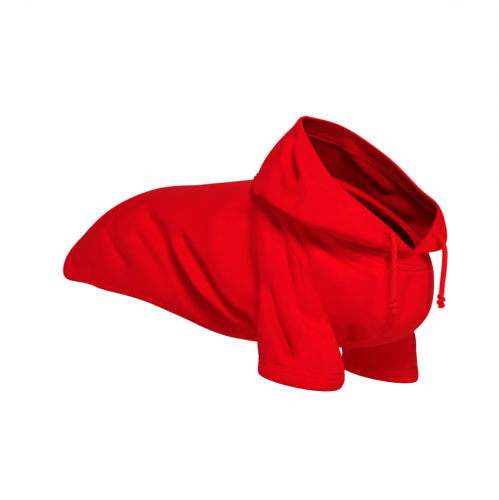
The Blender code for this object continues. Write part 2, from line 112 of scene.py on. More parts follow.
# %% [markdown]
# ## Fleece
# The cloth is sweatshirt fleece: a cotton and polyester knit, smooth outside and brushed inside. Its face has
# fine ribs of knit stitches under a short nap, which scatters light at the edges as a soft sheen and leaves
# no gloss. The real stitches are about 0.7 mm wide, too fine for the picture, so the ribs are drawn 1.6 mm
# apart and the courses across them 1.3 mm. They follow the cloth's own UV map, which is in metres.

# %% Fleece material
FLEECE_RED = "#E4001C"
FLEECE_SHADE = "#D80020"
FLEECE_INSIDE = "#B90016"
FLEECE_INSIDE_SHADE = "#A80014"
NAP_GLOW = "#FF1022"
FLEECE_FINISH = {
    "Roughness": 0.9,
    "Specular IOR Level": 0.06,
    "Sheen Weight": 0.10,
    "Sheen Roughness": 0.5,
    "Sheen Tint": linear(NAP_GLOW),
}
RIB_SPACING = 0.0016
COURSE_SPACING = 0.0013
# The courses stand this share as high as the ribs.
COURSE_SHARE = 0.4
NAP_GRAIN = 0.0009
DYE_PATCH = 0.035
# The values of the two noises' product at which the colour is all shade, and all red.
DYE_RANGE = (0.05, 0.35)
RIB_DEPTH = 0.00004
NAP_DEPTH = 0.0001
BRUSHED_DEPTH = 0.0003


def fleece(name, colour, shade, rib_depth, nap_depth):
    """Fleece with ribs and courses on its UV map, and a nap and faint patches of dye all over it."""
    material, tree, shader = start_material(name, FLEECE_FINISH)
    place = add(tree, "ShaderNodeTexCoord")
    apart = add(tree, "ShaderNodeSeparateXYZ", {"Vector": place.outputs["UV"]})
    waves = []
    for axis, spacing in (("X", RIB_SPACING), ("Y", COURSE_SPACING)):
        turns = add(
            tree, "ShaderNodeMath", {0: apart.outputs[axis]}, {1: math.tau / spacing}, operation="MULTIPLY"
        )
        waves.append(add(tree, "ShaderNodeMath", {0: turns.outputs[0]}, operation="SINE"))
    ribs, courses = waves
    knit = add(
        tree, "ShaderNodeMath", {0: courses.outputs[0], 2: ribs.outputs[0]}, {1: COURSE_SHARE},
        operation="MULTIPLY_ADD",
    )
    nap = add(
        tree, "ShaderNodeTexNoise", {"Vector": place.outputs["Object"]}, {"Scale": 1 / NAP_GRAIN, "Detail": 3}
    )
    dye = add(
        tree, "ShaderNodeTexNoise", {"Vector": place.outputs["Object"]}, {"Scale": 1 / DYE_PATCH, "Detail": 2}
    )
    mixed = add(tree, "ShaderNodeMath", {0: nap.outputs["Fac"], 1: dye.outputs["Fac"]}, operation="MULTIPLY")
    tone = add(
        tree, "ShaderNodeMapRange", {"Value": mixed.outputs[0]},
        {"From Min": DYE_RANGE[0], "From Max": DYE_RANGE[1], "To Min": 0, "To Max": 1},
    )
    colours = add(
        tree, "ShaderNodeMix", {"Factor": tone.outputs[0]},
        {"A": linear(shade), "B": linear(colour)}, data_type="RGBA",
    )
    tree.links.new(colours.outputs["Result"], shader.inputs["Base Color"])
    ribbed = add(
        tree, "ShaderNodeBump", {"Height": knit.outputs[0]}, {"Strength": 1.0, "Distance": rib_depth}
    )
    napped = add(
        tree, "ShaderNodeBump", {"Height": nap.outputs["Fac"], "Normal": ribbed.outputs[0]},
        {"Strength": 1.0, "Distance": nap_depth},
    )
    tree.links.new(napped.outputs[0], shader.inputs["Normal"])
    return material


face_fleece = fleece("sweatshirt fleece, knit face", FLEECE_RED, FLEECE_SHADE, RIB_DEPTH, NAP_DEPTH)
brushed_fleece = fleece(
    "sweatshirt fleece, brushed inside", FLEECE_INSIDE, FLEECE_INSIDE_SHADE, 0.0, BRUSHED_DEPTH
)
print("fleece materials:", face_fleece.name, "and", brushed_fleece.name)


# %% [markdown]
# ## Cord and thread
# The drawcords are soft braided cotton. A braid is two families of strands that cross on a slant, and two
# waves across each other on the cord's UV map draw them. The sewing thread is twisted polyester, with a
# slight gloss and a fine change of tone from its fibres.

# %% Cord and thread materials
CORD_RED = "#E60420"
CORD_SHADE = "#D0001A"
CORD_FINISH = {
    "Roughness": 0.75,
    "Specular IOR Level": 0.12,
    "Sheen Weight": 0.15,
    "Sheen Tint": linear(NAP_GLOW),
}
STRAND_TURNS = 4
STRAND_RANGE = (-0.6, 0.9)
STRAND_DEPTH = 0.00008
THREAD_RED = "#CE0018"
THREAD_SHADE = "#A80012"
THREAD_FINISH = {"Roughness": 0.55, "Specular IOR Level": 0.2, "Sheen Weight": 0.1}
FIBRE_GRAIN = 0.0004


def braid(name, length, girth):
    """Braided cord on a UV map that runs from 0 to 1 along the cord and round it."""
    material, tree, shader = start_material(name, CORD_FINISH)
    place = add(tree, "ShaderNodeTexCoord")
    apart = add(tree, "ShaderNodeSeparateXYZ", {"Vector": place.outputs["UV"]})
    along = add(
        tree, "ShaderNodeMath", {0: apart.outputs["X"]},
        {1: math.tau * STRAND_TURNS * round(length / girth)}, operation="MULTIPLY",
    )
    strands = []
    for turn in (1, -1):
        slant = add(
            tree, "ShaderNodeMath", {0: apart.outputs["Y"], 2: along.outputs[0]},
            {1: turn * math.tau * STRAND_TURNS}, operation="MULTIPLY_ADD",
        )
        strands.append(add(tree, "ShaderNodeMath", {0: slant.outputs[0]}, operation="SINE"))
    crossed = add(
        tree, "ShaderNodeMath", {0: strands[0].outputs[0], 1: strands[1].outputs[0]}, operation="MAXIMUM"
    )
    tone = add(
        tree, "ShaderNodeMapRange", {"Value": crossed.outputs[0]},
        {"From Min": STRAND_RANGE[0], "From Max": STRAND_RANGE[1], "To Min": 0, "To Max": 1},
    )
    colours = add(
        tree, "ShaderNodeMix", {"Factor": tone.outputs[0]},
        {"A": linear(CORD_SHADE), "B": linear(CORD_RED)}, data_type="RGBA",
    )
    tree.links.new(colours.outputs["Result"], shader.inputs["Base Color"])
    bump = add(
        tree, "ShaderNodeBump", {"Height": crossed.outputs[0]}, {"Strength": 1.0, "Distance": STRAND_DEPTH}
    )
    tree.links.new(bump.outputs[0], shader.inputs["Normal"])
    return material


thread, tree, shader = start_material("twisted polyester thread", THREAD_FINISH)
place = add(tree, "ShaderNodeTexCoord")
fibre = add(
    tree, "ShaderNodeTexNoise", {"Vector": place.outputs["Object"]}, {"Scale": 1 / FIBRE_GRAIN, "Detail": 1}
)
colours = add(
    tree, "ShaderNodeMix", {"Factor": fibre.outputs["Fac"]},
    {"A": linear(THREAD_SHADE), "B": linear(THREAD_RED)}, data_type="RGBA",
)
tree.links.new(colours.outputs["Result"], shader.inputs["Base Color"])
print("thread material:", thread.name)

# %% [markdown]
# ## Smooth curves through short tables
# The trunk, the sleeves and the hood are the same smooth forms as in the CAD part, which is built from short
# tables of sections. Here they are read many times finer, so that the folds and the seams can be soft.

# %% Curves through rows of numbers
def lerp(a, b, share):
    return a + (b - a) * share


def smooth(low, high, value):
    share = np.clip((value - low) / (high - low), 0, 1)
    return share * share * (3 - 2 * share)


def hermite(start, leave, end, arrive, f):
    """The point at a share of a curve that leaves its start and arrives at its end along two directions."""
    return (
        start * (2 * f**3 - 3 * f**2 + 1)
        + leave * (f**3 - 2 * f**2 + f)
        + end * (3 * f**2 - 2 * f**3)
        + arrive * (f**3 - f**2)
    )


def spline(rows, place):
    """Rows of numbers at places counted in rows, on smooth curves through all the rows."""
    rows = np.asarray(rows, float)
    place = np.asarray(place, float)
    last = len(rows) - 1
    k = np.clip(np.floor(place).astype(int), 0, last - 1)
    before, here, there, after = (rows[np.clip(k + d, 0, last)] for d in (-1, 0, 1, 2))
    return hermite(here, (there - before) / 2, there, (after - here) / 2, (place - k)[..., None])


def keyed(rows, key):
    """The rest of the row at each key, in a table whose first column rises."""
    rows = np.asarray(rows, float)
    key = np.asarray(key, float)
    k = np.clip(np.searchsorted(rows[:, 0], key) - 1, 0, len(rows) - 2)
    share = (key - rows[k, 0]) / (rows[k + 1, 0] - rows[k, 0])
    return spline(rows[:, 1:], k + share)


def power(value, exponent):
    return np.sign(value) * np.abs(value) ** exponent


def unit(vectors):
    return vectors / np.linalg.norm(vectors, axis=-1, keepdims=True)


def distances(line):
    """How far each point of a line lies from its start, along it. The line may be many lines at once."""
    steps = np.linalg.norm(np.diff(line, axis=-2), axis=-1)
    return np.concatenate([np.zeros(steps.shape[:-1] + (1,)), np.cumsum(steps, axis=-1)], axis=-1)


def read_line(line, places):
    """The points of one line at distances from its start. Past its ends it runs straight on."""
    far = distances(line)
    points = np.stack([np.interp(places, far, line[:, k]) for k in range(3)], axis=-1)
    over = np.maximum(0, places - far[-1])[:, None]
    under = np.minimum(0, places)[:, None]
    return points + over * unit(line[-1] - line[-2]) + under * unit(line[1] - line[0])


# %% [markdown]
# ## Trunk
# Nine sections from the neck seam to the rear hem give the trunk. Each is an oval between a point of the back
# and a point of the chest or the belly, more or less square, with its widest level above or below its middle.

# %% Trunk form
BACK_LENGTH = 0.290
CHEST_DEPTH = 0.150
CHEST_WIDTH = 0.152
CLOTH = 0.0020
BAND_CLOTH = 0.0030
WALK_REACH = 0.12
WALK_STEPS = 48
CHEST_PLACE = 0.35

# x is a share of BACK_LENGTH, z of CHEST_DEPTH and half_width of CHEST_WIDTH.
# The columns are top_x, top_z, low_x, low_z, half_width, widest and fullness.
TRUNK_SECTIONS = (
    (0.010, 0.030, 0.359, -0.465, 0.382, 0.50, 2.1),
    (-0.028, 0.012, 0.368, -0.660, 0.461, 0.52, 2.2),
    (-0.083, 0.007, 0.336, -0.870, 0.493, 0.54, 2.3),
    (-0.159, 0.000, 0.207, -0.985, 0.500, 0.56, 2.4),
    (-0.276, -0.005, -0.034, -0.990, 0.500, 0.58, 2.5),
    (-0.431, -0.010, -0.259, -0.965, 0.493, 0.60, 2.5),
    (-0.614, -0.015, -0.448, -0.965, 0.480, 0.60, 2.5),
    (-0.821, -0.118, -0.638, -1.000, 0.454, 0.60, 2.2),
    (-0.995, -0.335, -0.830, -1.030, 0.408, 0.58, 2.0),
)
# The angle from the spine as a share of half a turn, and how far along the trunk the cloth reaches there.
HEM_LINE = (
    (0.00, 0.965),
    (0.15, 0.985),
    (0.30, 0.997),
    (0.40, 0.975),
    (0.50, 0.880),
    (0.60, 0.750),
    (0.70, 0.662),
    (0.80, 0.618),
    (0.90, 0.590),
    (1.00, 0.560),
)


def trunk(along, angle):
    """Points of the trunk's smooth form: along runs from neck to tail, angle from the spine to the left."""
    along, angle = np.broadcast_arrays(np.asarray(along, float), np.asarray(angle, float))
    top_x, top_z, low_x, low_z, half_width, widest, fullness = np.moveaxis(
        spline(TRUNK_SECTIONS, along * (len(TRUNK_SECTIONS) - 1)), -1, 0
    )
    level = np.zeros_like(top_x)
    top = np.stack([top_x * BACK_LENGTH, level, top_z * CHEST_DEPTH + CLOTH / 2], axis=-1)
    low = np.stack([low_x * BACK_LENGTH, level, low_z * CHEST_DEPTH], axis=-1)
    centre = lerp(top, low, widest[..., None])
    rise = power(np.cos(angle), 2 / fullness)[..., None]
    reach = power(np.sin(angle), 2 / fullness) * half_width * CHEST_WIDTH
    towards = np.where(rise > 0, top - centre, centre - low)
    return centre + towards * rise + reach[..., None] * np.array([0, 1, 0])


def half_turn_share(angle):
    turned = np.asarray(angle) % math.tau
    return np.minimum(turned, math.tau - turned) / math.pi


def hem_reach(angle):
    return keyed(HEM_LINE, half_turn_share(angle))[..., 0]


def walk(angle, start, distance):
    """Where along the trunk a distance from a start lies at each angle. Less than 0 is towards the neck."""
    steps = np.linspace(0, WALK_REACH, WALK_STEPS + 1) * (1 if distance >= 0 else -1)
    found = []
    for one_angle, one_start in zip(*np.broadcast_arrays(angle, start)):
        far = distances(trunk(one_start + steps, one_angle))
        found.append(one_start + np.interp(abs(distance), far, steps))
    return np.array(found)


girth = distances(trunk(CHEST_PLACE, np.linspace(0, math.tau, 90)))[-1]
print("chest girth", round(float(girth), 3), "m")

# %% [markdown]
# ## Folds
# Cloth that is too wide for what it covers hangs in folds. Each fold here is a line through three places on
# the surface, with a depth and a width. A valley has low banks on both sides, as cloth piles up beside a
# fold. A fold with less than no depth is a ridge. The big folds are the CAD part's own, and the creases are
# added here. A simulation would drape the cloth in folds of its own. These have to lie where the picture has
# them, so each is drawn by moving the cloth's points out or in.

# %% Fold tables
FOLD_DEPTH = 0.0055
FOLD_WIDTH = 0.0135
FOLD_STEPS = 8
# A fold fades in up to the first share of its length and out from the second, and ends this many widths away.
FOLD_FADE = (0.25, 0.8)
FOLD_REACH = 3
# The side is 1 on the left and -1 on the right. Then come a and b of three places, and the depth and the
# width as shares of FOLD_DEPTH and FOLD_WIDTH. On the trunk a is how far along it and b the angle from the
# spine, as a share of half a turn.
TRUNK_FOLDS = (
    (-1, 0.70, 0.33, 0.62, 0.47, 0.54, 0.75, 1.10, 1.20),
    (-1, 0.65, 0.39, 0.59, 0.50, 0.53, 0.70, -0.60, 0.90),
    (-1, 0.57, 0.44, 0.53, 0.57, 0.50, 0.72, 0.90, 1.00),
    (-1, 0.75, 0.34, 0.69, 0.47, 0.63, 0.58, 0.75, 1.00),
    (-1, 0.83, 0.28, 0.80, 0.42, 0.77, 0.49, 0.60, 0.90),
    (-1, 0.59, 0.58, 0.54, 0.66, 0.51, 0.76, 0.50, 0.80),
    (-1, 0.97, 0.34, 0.93, 0.40, 0.87, 0.45, 0.40, 0.80),
    (-1, 0.82, 0.26, 0.78, 0.23, 0.73, 0.22, 0.45, 0.70),
    (-1, 0.24, 0.35, 0.27, 0.43, 0.30, 0.50, 0.60, 0.80),
    (-1, 0.17, 0.39, 0.20, 0.47, 0.24, 0.54, 0.60, 0.80),
    (-1, 0.16, 0.45, 0.14, 0.57, 0.14, 0.73, 0.80, 0.80),
    (-1, 0.14, 0.50, 0.11, 0.62, 0.10, 0.75, 0.50, 0.70),
    (-1, 0.31, 0.79, 0.34, 0.85, 0.37, 0.90, 0.80, 0.80),
    (-1, 0.08, 0.99, 0.16, 0.97, 0.25, 0.96, 0.50, 0.90),
    (1, 0.68, 0.31, 0.61, 0.44, 0.55, 0.64, 1.00, 1.20),
    (1, 0.60, 0.42, 0.56, 0.55, 0.52, 0.70, 0.80, 1.00),
    (1, 0.78, 0.32, 0.73, 0.42, 0.69, 0.50, 0.75, 1.00),
    (1, 0.85, 0.28, 0.80, 0.40, 0.76, 0.50, 0.60, 0.90),
    (1, 0.22, 0.36, 0.24, 0.46, 0.28, 0.54, 0.60, 0.80),
    (1, 0.17, 0.44, 0.15, 0.56, 0.13, 0.71, 0.80, 0.80),
    (1, 0.33, 0.79, 0.35, 0.86, 0.38, 0.91, 0.80, 0.80),
)
# On a sleeve a is the share of a turn round it, from its front upper corner, and b how far down it.
SLEEVE_FOLDS = (
    (-1, 0.11, 0.40, 0.10, 0.60, 0.03, 0.74, 0.90, 0.90),
    (-1, 1.01, 0.44, 0.90, 0.38, 0.85, 0.28, 0.90, 0.90),
    (-1, 1.00, 0.60, 0.94, 0.55, 0.87, 0.42, 0.50, 0.70),
    (-1, 0.03, 0.05, 0.01, 0.17, 0.00, 0.32, 0.60, 0.80),
    (1, 0.12, 0.42, 0.09, 0.60, 0.04, 0.76, 0.80, 0.90),
    (1, 1.00, 0.48, 0.91, 0.42, 0.85, 0.30, 0.80, 0.90),
    (1, 0.02, 0.06, 0.02, 0.18, 0.01, 0.34, 0.60, 0.80),
)
# On the hood a is the share of half a turn round the neck, and b how far up it from the seam to the rim.
HOOD_FOLDS = (
    (-1, 0.28, 0.86, 0.36, 0.70, 0.48, 0.66, 0.70, 0.80),
    (-1, 0.26, 0.40, 0.37, 0.46, 0.50, 0.47, 0.50, 0.80),
    (-1, 0.04, 0.62, 0.10, 0.50, 0.18, 0.42, 0.60, 0.90),
    (1, 0.26, 0.84, 0.36, 0.70, 0.50, 0.66, 0.70, 0.80),
    (1, 0.20, 0.42, 0.33, 0.46, 0.47, 0.48, 0.50, 0.80),
    (1, 0.03, 0.50, 0.08, 0.40, 0.14, 0.32, 0.60, 0.90),
)

# %% Crease tables
# Narrow creases that only the looks need, in the same columns.
TRUNK_CREASES = (
    (-1, 0.73, 0.26, 0.62, 0.50, 0.52, 0.88, 1.90, 0.75),
    (-1, 0.69, 0.34, 0.60, 0.47, 0.52, 0.76, -0.60, 0.55),
    (-1, 0.61, 0.38, 0.55, 0.53, 0.50, 0.84, 1.60, 0.55),
    (-1, 0.56, 0.44, 0.53, 0.54, 0.49, 0.72, -0.35, 0.50),
    (-1, 0.75, 0.35, 0.70, 0.45, 0.62, 0.53, 0.30, 0.60),
    (-1, 0.85, 0.25, 0.82, 0.38, 0.78, 0.47, 0.40, 0.32),
    (-1, 0.63, 0.54, 0.60, 0.64, 0.55, 0.84, 1.10, 0.90),
    (-1, 0.86, 0.17, 0.79, 0.20, 0.70, 0.23, 0.20, 0.35),
    (-1, 0.01, 0.85, 0.15, 0.88, 0.30, 0.93, 0.80, 0.45),
    (-1, 0.30, 0.78, 0.34, 0.85, 0.37, 0.91, 0.70, 0.28),
    (-1, 0.31, 1.00, 0.35, 0.95, 0.41, 0.93, 0.90, 0.60),
    (1, 0.72, 0.28, 0.63, 0.47, 0.53, 0.80, 1.10, 0.50),
    (1, 0.60, 0.40, 0.56, 0.52, 0.50, 0.78, 1.00, 0.45),
    (1, 0.78, 0.32, 0.73, 0.44, 0.66, 0.53, 0.40, 0.50),
    (1, 0.86, 0.25, 0.83, 0.38, 0.79, 0.46, 0.40, 0.32),
    (1, 0.28, 0.88, 0.31, 0.91, 0.35, 0.93, 0.50, 0.40),
)
# Creases that run from the shoulder on to the sleeve, on the trunk's columns.
SHOULDER_CREASES = (
    (-1, 0.38, 0.26, 0.44, 0.46, 0.48, 0.76, 2.20, 1.60),
    (-1, 0.25, 0.34, 0.26, 0.43, 0.30, 0.50, 0.45, 0.30),
    (-1, 0.16, 0.38, 0.21, 0.47, 0.25, 0.55, 0.45, 0.30),
    (-1, 0.15, 0.40, 0.14, 0.57, 0.13, 0.78, 0.65, 0.32),
    (-1, 0.13, 0.46, 0.11, 0.62, 0.10, 0.84, 0.50, 0.30),
    (1, 0.43, 0.30, 0.46, 0.48, 0.49, 0.68, 1.20, 1.30),
    (1, 0.22, 0.36, 0.25, 0.44, 0.29, 0.52, 0.45, 0.30),
    (1, 0.16, 0.44, 0.15, 0.57, 0.13, 0.70, 0.45, 0.30),
)
# Creases over the shoulder and from the sleeve's front across to the armpit, as points in space on the right,
# in millimetres, with the same two shares. The left has the same ones, mirrored.
ARMPIT_CREASES = (
    ((-2, -70, -40), (8, -79, -75), (16, -84, -100), 0.90, 1.00),
    ((40, -84, -102), (54, -77, -115), (66, -64, -130), 0.60, 0.45),
    ((50, -86, -127), (64, -80, -134), (67, -63, -138), 0.40, 0.35),
)
# The sleeves' creases, in the columns of their folds.
SLEEVE_CREASES = (
    (-1, 0.12, 0.38, 0.10, 0.58, 0.05, 0.82, 1.60, 0.45),
    (1, 0.11, 0.42, 0.09, 0.58, 0.05, 0.78, 1.00, 0.42),
)
# The hood's creases, in the columns of its folds.
HOOD_CREASES = (
    (-1, 0.22, 0.95, 0.30, 0.88, 0.43, 0.79, 1.70, 0.50),
    (-1, 0.29, 0.97, 0.38, 0.90, 0.52, 0.80, -0.60, 0.50),
    (-1, 0.20, 0.64, 0.37, 0.71, 0.50, 0.70, 0.30, 0.60),
    (1, 0.20, 0.95, 0.29, 0.88, 0.42, 0.79, 1.20, 0.45),
    (1, 0.20, 0.62, 0.36, 0.69, 0.49, 0.67, 0.45, 0.60),
)

# %% Lifting the cloth along its folds
MILLIMETRE = 0.001


def fold_paths(rows, surface):
    """Each fold of a table as points on a surface, with its depth and its width."""
    paths = []
    for side, a1, b1, a2, b2, a3, b3, depth, width in rows:
        a, b = spline([(a1, b1), (a2, b2), (a3, b3)], np.linspace(0, 2, FOLD_STEPS + 1)).T
        paths.append((surface(side, a, b), depth * FOLD_DEPTH, width * FOLD_WIDTH))
    return paths


def crease(points, paths):
    """How far the folds lift the cloth at points, or draw it down where the sum is less than 0."""
    lift = np.zeros(points.shape[:-1])
    for path, depth, width in paths:
        reach = FOLD_REACH * width
        near = np.all((points > path.min(axis=0) - reach) & (points < path.max(axis=0) + reach), axis=-1)
        some = points[near]
        nearest = np.ones(len(some))
        place = np.zeros(len(some))
        for k, (start, end) in enumerate(zip(path, path[1:])):
            run = end - start
            share = np.clip((some - start) @ run / (run @ run), 0, 1)
            away = np.linalg.norm(some - start - share[:, None] * run, axis=-1)
            place = np.where(away < nearest, (k + share) / (len(path) - 1), place)
            nearest = np.minimum(away, nearest)
        q = nearest / width
        fade = smooth(0, FOLD_FADE[0], place) * smooth(1, FOLD_FADE[1], place)
        lift[near] -= depth * fade * (1 - q * q) * np.exp(-q * q)
    return lift


def on_trunk(side, along, share):
    return trunk(along, side * share * math.pi)


def armpit_paths(side):
    """The armpit creases of one side, in space."""
    paths = []
    for first, middle, last, depth, width in ARMPIT_CREASES:
        path = spline([first, middle, last], np.linspace(0, 2, FOLD_STEPS + 1)) * MILLIMETRE * (1, -side, 1)
        paths.append((path, depth * FOLD_DEPTH, width * FOLD_WIDTH))
    return paths


shoulder_paths = fold_paths(SHOULDER_CREASES, on_trunk) + armpit_paths(-1) + armpit_paths(1)
trunk_paths = fold_paths(TRUNK_FOLDS + TRUNK_CREASES, on_trunk) + shoulder_paths
print(len(trunk_paths), "folds on the trunk")


# %% [markdown]
# ## The furrow at the neck
# The seam between body and hood draws the cloth in all round, so that it lies in a dark furrow under the
# hood's lower edge. The draw is strongest on the seam, is lost a few centimetres down, and ends before the V
# on the chest.

# %% Trunk cloth with its folds
TINY = 1e-4
NECK_DRAW = 0.0080
# How far along the trunk the draw reaches, and the shares of half a turn from the spine where it is gone and
# whole.
NECK_DRAW_REACH = 0.034
NECK_DRAW_FADE = (0.98, 0.80)


def outward(along, angle):
    """The directions straight out of the trunk's smooth form."""
    across = trunk(along, angle + TINY) - trunk(along, angle - TINY)
    down = trunk(along + TINY, angle) - trunk(along - TINY, angle)
    return unit(np.cross(across, down))


def trunk_cloth(along, angle):
    """Points of the trunk's cloth, folds included."""
    points = trunk(along, angle)
    drawn = NECK_DRAW * np.exp(-((along / NECK_DRAW_REACH) ** 2))
    drawn = drawn * smooth(*NECK_DRAW_FADE, half_turn_share(angle))
    return points + outward(along, angle) * (crease(points, trunk_paths) - drawn)[..., None]


# %% [markdown]
# ## From rows of points to cloth
# A flat grid is the plainest start for cloth, as for a cut pattern piece. It is made with Blender's grid
# operator, its corners are moved to the points of the worn form, and the seam that closes a tube is merged.
# The UV map is in metres of cloth, so that a pattern has the same size everywhere. A Solidify modifier then
# gives the wall.

# %% Cloth sheets
MERGE = 1e-6


def mesh_piece(name, work, *materials):
    """The smooth piece that a finished bmesh makes, with its materials."""
    mesh = bpy.data.meshes.new(name)
    work.to_mesh(mesh)
    work.free()
    mesh.shade_smooth()
    for material in materials:
        mesh.materials.append(material)
    piece = bpy.data.objects.new(name, mesh)
    bpy.context.scene.collection.objects.link(piece)
    return piece


def sheet(name, columns, closed, thickness, hole=None, soften=0, rim=True):
    """A cloth piece through columns of points, which closed joins to a tube. A seam may hide its rim."""
    columns = np.asarray(columns)
    if closed:
        columns = np.concatenate([columns, columns[:1]])
    across, down = columns.shape[0] - 1, columns.shape[1] - 1
    around = distances(np.moveaxis(columns, 0, 1)).mean(axis=0)
    along = distances(columns).mean(axis=0)
    work = bmesh.new()
    bmesh.ops.create_grid(work, x_segments=across, y_segments=down, size=1, calc_uvs=True)
    if hole is not None:
        middles = [(face, face.calc_center_median()) for face in work.faces]
        cut = [f for f, m in middles if hole(int((m.x + 1) / 2 * across), int((m.y + 1) / 2 * down))]
        bmesh.ops.delete(work, geom=cut, context="FACES")
    uv_map = work.loops.layers.uv.verify()
    for vertex in work.verts:
        i = round((vertex.co.x + 1) / 2 * across)
        j = round((vertex.co.y + 1) / 2 * down)
        vertex.co = columns[i, j]
        for loop in vertex.link_loops:
            loop[uv_map].uv = (around[i], along[j])
    if closed:
        bmesh.ops.remove_doubles(work, verts=work.verts, dist=MERGE)
    piece = mesh_piece(name, work, face_fleece, brushed_fleece)
    wall = piece.modifiers.new("wall", "SOLIDIFY")
    wall.thickness = thickness
    wall.offset = 0
    wall.material_offset = 1
    wall.use_rim = rim
    if soften:
        rounding = piece.modifiers.new("rounding", "SUBSURF")
        rounding.levels = rounding.render_levels = soften
    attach(piece, "root")
    print(name, across, "x", down, "cells")
    return piece


# %% [markdown]
# ## Body
# The body's cloth runs from the neck seam to the hem, with an oval opening for each sleeve. The grid of the
# CAD part is read several times finer. Near an armhole its lines are drawn into the oval.

# %% Body grid
AROUND = 44
BEFORE_ROWS = 6
REAR_ROWS = 13
ARMHOLE_COLUMNS = 12
ARMHOLE_ROWS = 6
ARMHOLE_COLUMN = 14
ARMHOLE_REACH = 2.2
BODY_FINE = 6
NECK_BAND_WIDTH = 0.0075
BODY_HEM_WIDTH = 0.017
# The rows of points that the neck's topstitches need, as distances below the seam.
TOP_STEP = 0.0006
TOP_PLACES = np.arange(0.0018, 0.0105, TOP_STEP)
# The grid ends this far before a seam's own rows.
SEAM_MARGIN = 0.0016
# How far along the trunk the armholes' front and rear edges lie, at each share of half a turn from the spine.
ARMHOLE_LINES = (
    (0.00, 0.210, 0.425),
    (0.32, 0.210, 0.425),
    (0.61, 0.280, 0.450),
    (0.86, 0.370, 0.500),
    (1.00, 0.390, 0.510),
)

fine_angles = np.arange(AROUND * BODY_FINE) / (AROUND * BODY_FINE) * math.tau
band_ends = walk(fine_angles, 0.0, NECK_BAND_WIDTH)
hem_starts = walk(fine_angles, hem_reach(fine_angles), -BODY_HEM_WIDTH)
grid_starts = walk(fine_angles, band_ends, TOP_PLACES[-1] + TOP_STEP)
grid_ends = walk(fine_angles, hem_starts, -SEAM_MARGIN)


def around_reading(values, angle):
    """Values at the fine angles, read at any angle."""
    closed = np.concatenate([values, values[:1]])
    return np.interp(np.asarray(angle) % math.tau, np.linspace(0, math.tau, len(closed)), closed)


def trunk_along(row, angle):
    """Where a row of the body's grid lies along the trunk."""
    front, rear = np.moveaxis(keyed(ARMHOLE_LINES, half_turn_share(angle)), -1, 0)
    armhole_end = BEFORE_ROWS + ARMHOLE_ROWS
    before = lerp(around_reading(grid_starts, angle), front, row / BEFORE_ROWS)
    beside = lerp(front, rear, (row - BEFORE_ROWS) / ARMHOLE_ROWS)
    behind = lerp(rear, around_reading(grid_ends, angle), (row - armhole_end) / REAR_ROWS)
    return np.where(row <= BEFORE_ROWS, before, np.where(row <= armhole_end, beside, behind))


def open_armhole(column, row):
    """Moves places of the body's grid so that each armhole's square of cells opens to an oval."""
    column, row = (np.array(a, float) for a in np.broadcast_arrays(column, row))
    middle_row = BEFORE_ROWS + ARMHOLE_ROWS / 2
    for middle in (ARMHOLE_COLUMN, AROUND - ARMHOLE_COLUMN):
        across = (column - middle) / (ARMHOLE_COLUMNS / 2)
        down = (row - middle_row) / (ARMHOLE_ROWS / 2)
        square = np.maximum(np.abs(across), np.abs(down))
        near = (square > 1e-6) & (square < ARMHOLE_REACH)
        round_share = 1 - smooth(1, ARMHOLE_REACH, square)
        pull = lerp(1, square / np.maximum(1e-9, np.hypot(across, down)), round_share)
        column = np.where(near, middle + across * pull * ARMHOLE_COLUMNS / 2, column)
        row = np.where(near, middle_row + down * pull * ARMHOLE_ROWS / 2, row)
    return column, row


def body_points(column, row):
    """Points of the body's cloth at places of its grid, counted in cells of the CAD part's own grid."""
    column, row = open_armhole(column, row)
    angle = math.tau * column / AROUND
    return trunk_cloth(trunk_along(row, angle), angle)


# %% [markdown]
# ## Seams
# Where two pieces meet, each one's edge is turned in. So the cloth dips along the seam and runs on under the
# band, and the band runs on under the cloth. The neck seam's turned edge is also sewn down on the body, with
# two rows of topstitches, and each row draws a groove.

# %% Seam rows and the grooves of the topstitches
SEAM_DIP = 0.0017
SEAM_SLOPE = 0.0012
TUCK_PLACES = np.array([-0.0010, -0.0005, 0.0, 0.0006, 0.0012])
TOP_NEEDLES = (0.0027, 0.0075)
TOP_GROOVE = 0.0010
TOP_GROOVE_WIDTH = 0.0010


def groove(distance, needle, depth, width):
    """How far a row of stitches draws the cloth in, at distances measured across it."""
    return depth * np.exp(-(((distance - needle) / width) ** 2))


def tuck(distance):
    """How far in the cloth lies at a distance past a seam, where it runs on under the next piece."""
    return -SEAM_DIP * smooth(-SEAM_SLOPE, SEAM_SLOPE, distance)


def trunk_rows(seam, distances_on):
    """Rows of trunk cloth at distances from a seam, all round, and the directions out of it there."""
    along = np.stack([walk(fine_angles, seam, distance) for distance in distances_on], axis=-1)
    across = np.broadcast_to(fine_angles[:, None], along.shape)
    return trunk_cloth(along, across), outward(along, across)


def seam_rows(seam, onward):
    """Rows of trunk cloth across a seam. onward is 1 where the cloth comes from the neck's side, else -1."""
    points, normals = trunk_rows(seam, onward * TUCK_PLACES)
    return points + normals * tuck(TUCK_PLACES)[None, :, None]


top_points, top_normals = trunk_rows(band_ends, TOP_PLACES)
top_dips = sum(groove(TOP_PLACES, needle, TOP_GROOVE, TOP_GROOVE_WIDTH) for needle in TOP_NEEDLES)
top_lines = top_points - top_normals * top_dips[None, :, None]
print("the topstitches draw the cloth in by up to", round(float(top_dips.max()) * 1000, 1), "mm")


# %% Body cloth
def in_armhole(column, row):
    """Whether a cell of the whole sheet lies in one of the two openings."""
    for middle in (ARMHOLE_COLUMN, AROUND - ARMHOLE_COLUMN):
        across = column / BODY_FINE - (middle - ARMHOLE_COLUMNS / 2)
        down = (row - len(TUCK_PLACES) - len(TOP_PLACES)) / BODY_FINE - BEFORE_ROWS
        if 0 <= across < ARMHOLE_COLUMNS and 0 <= down < ARMHOLE_ROWS:
            return True
    return False


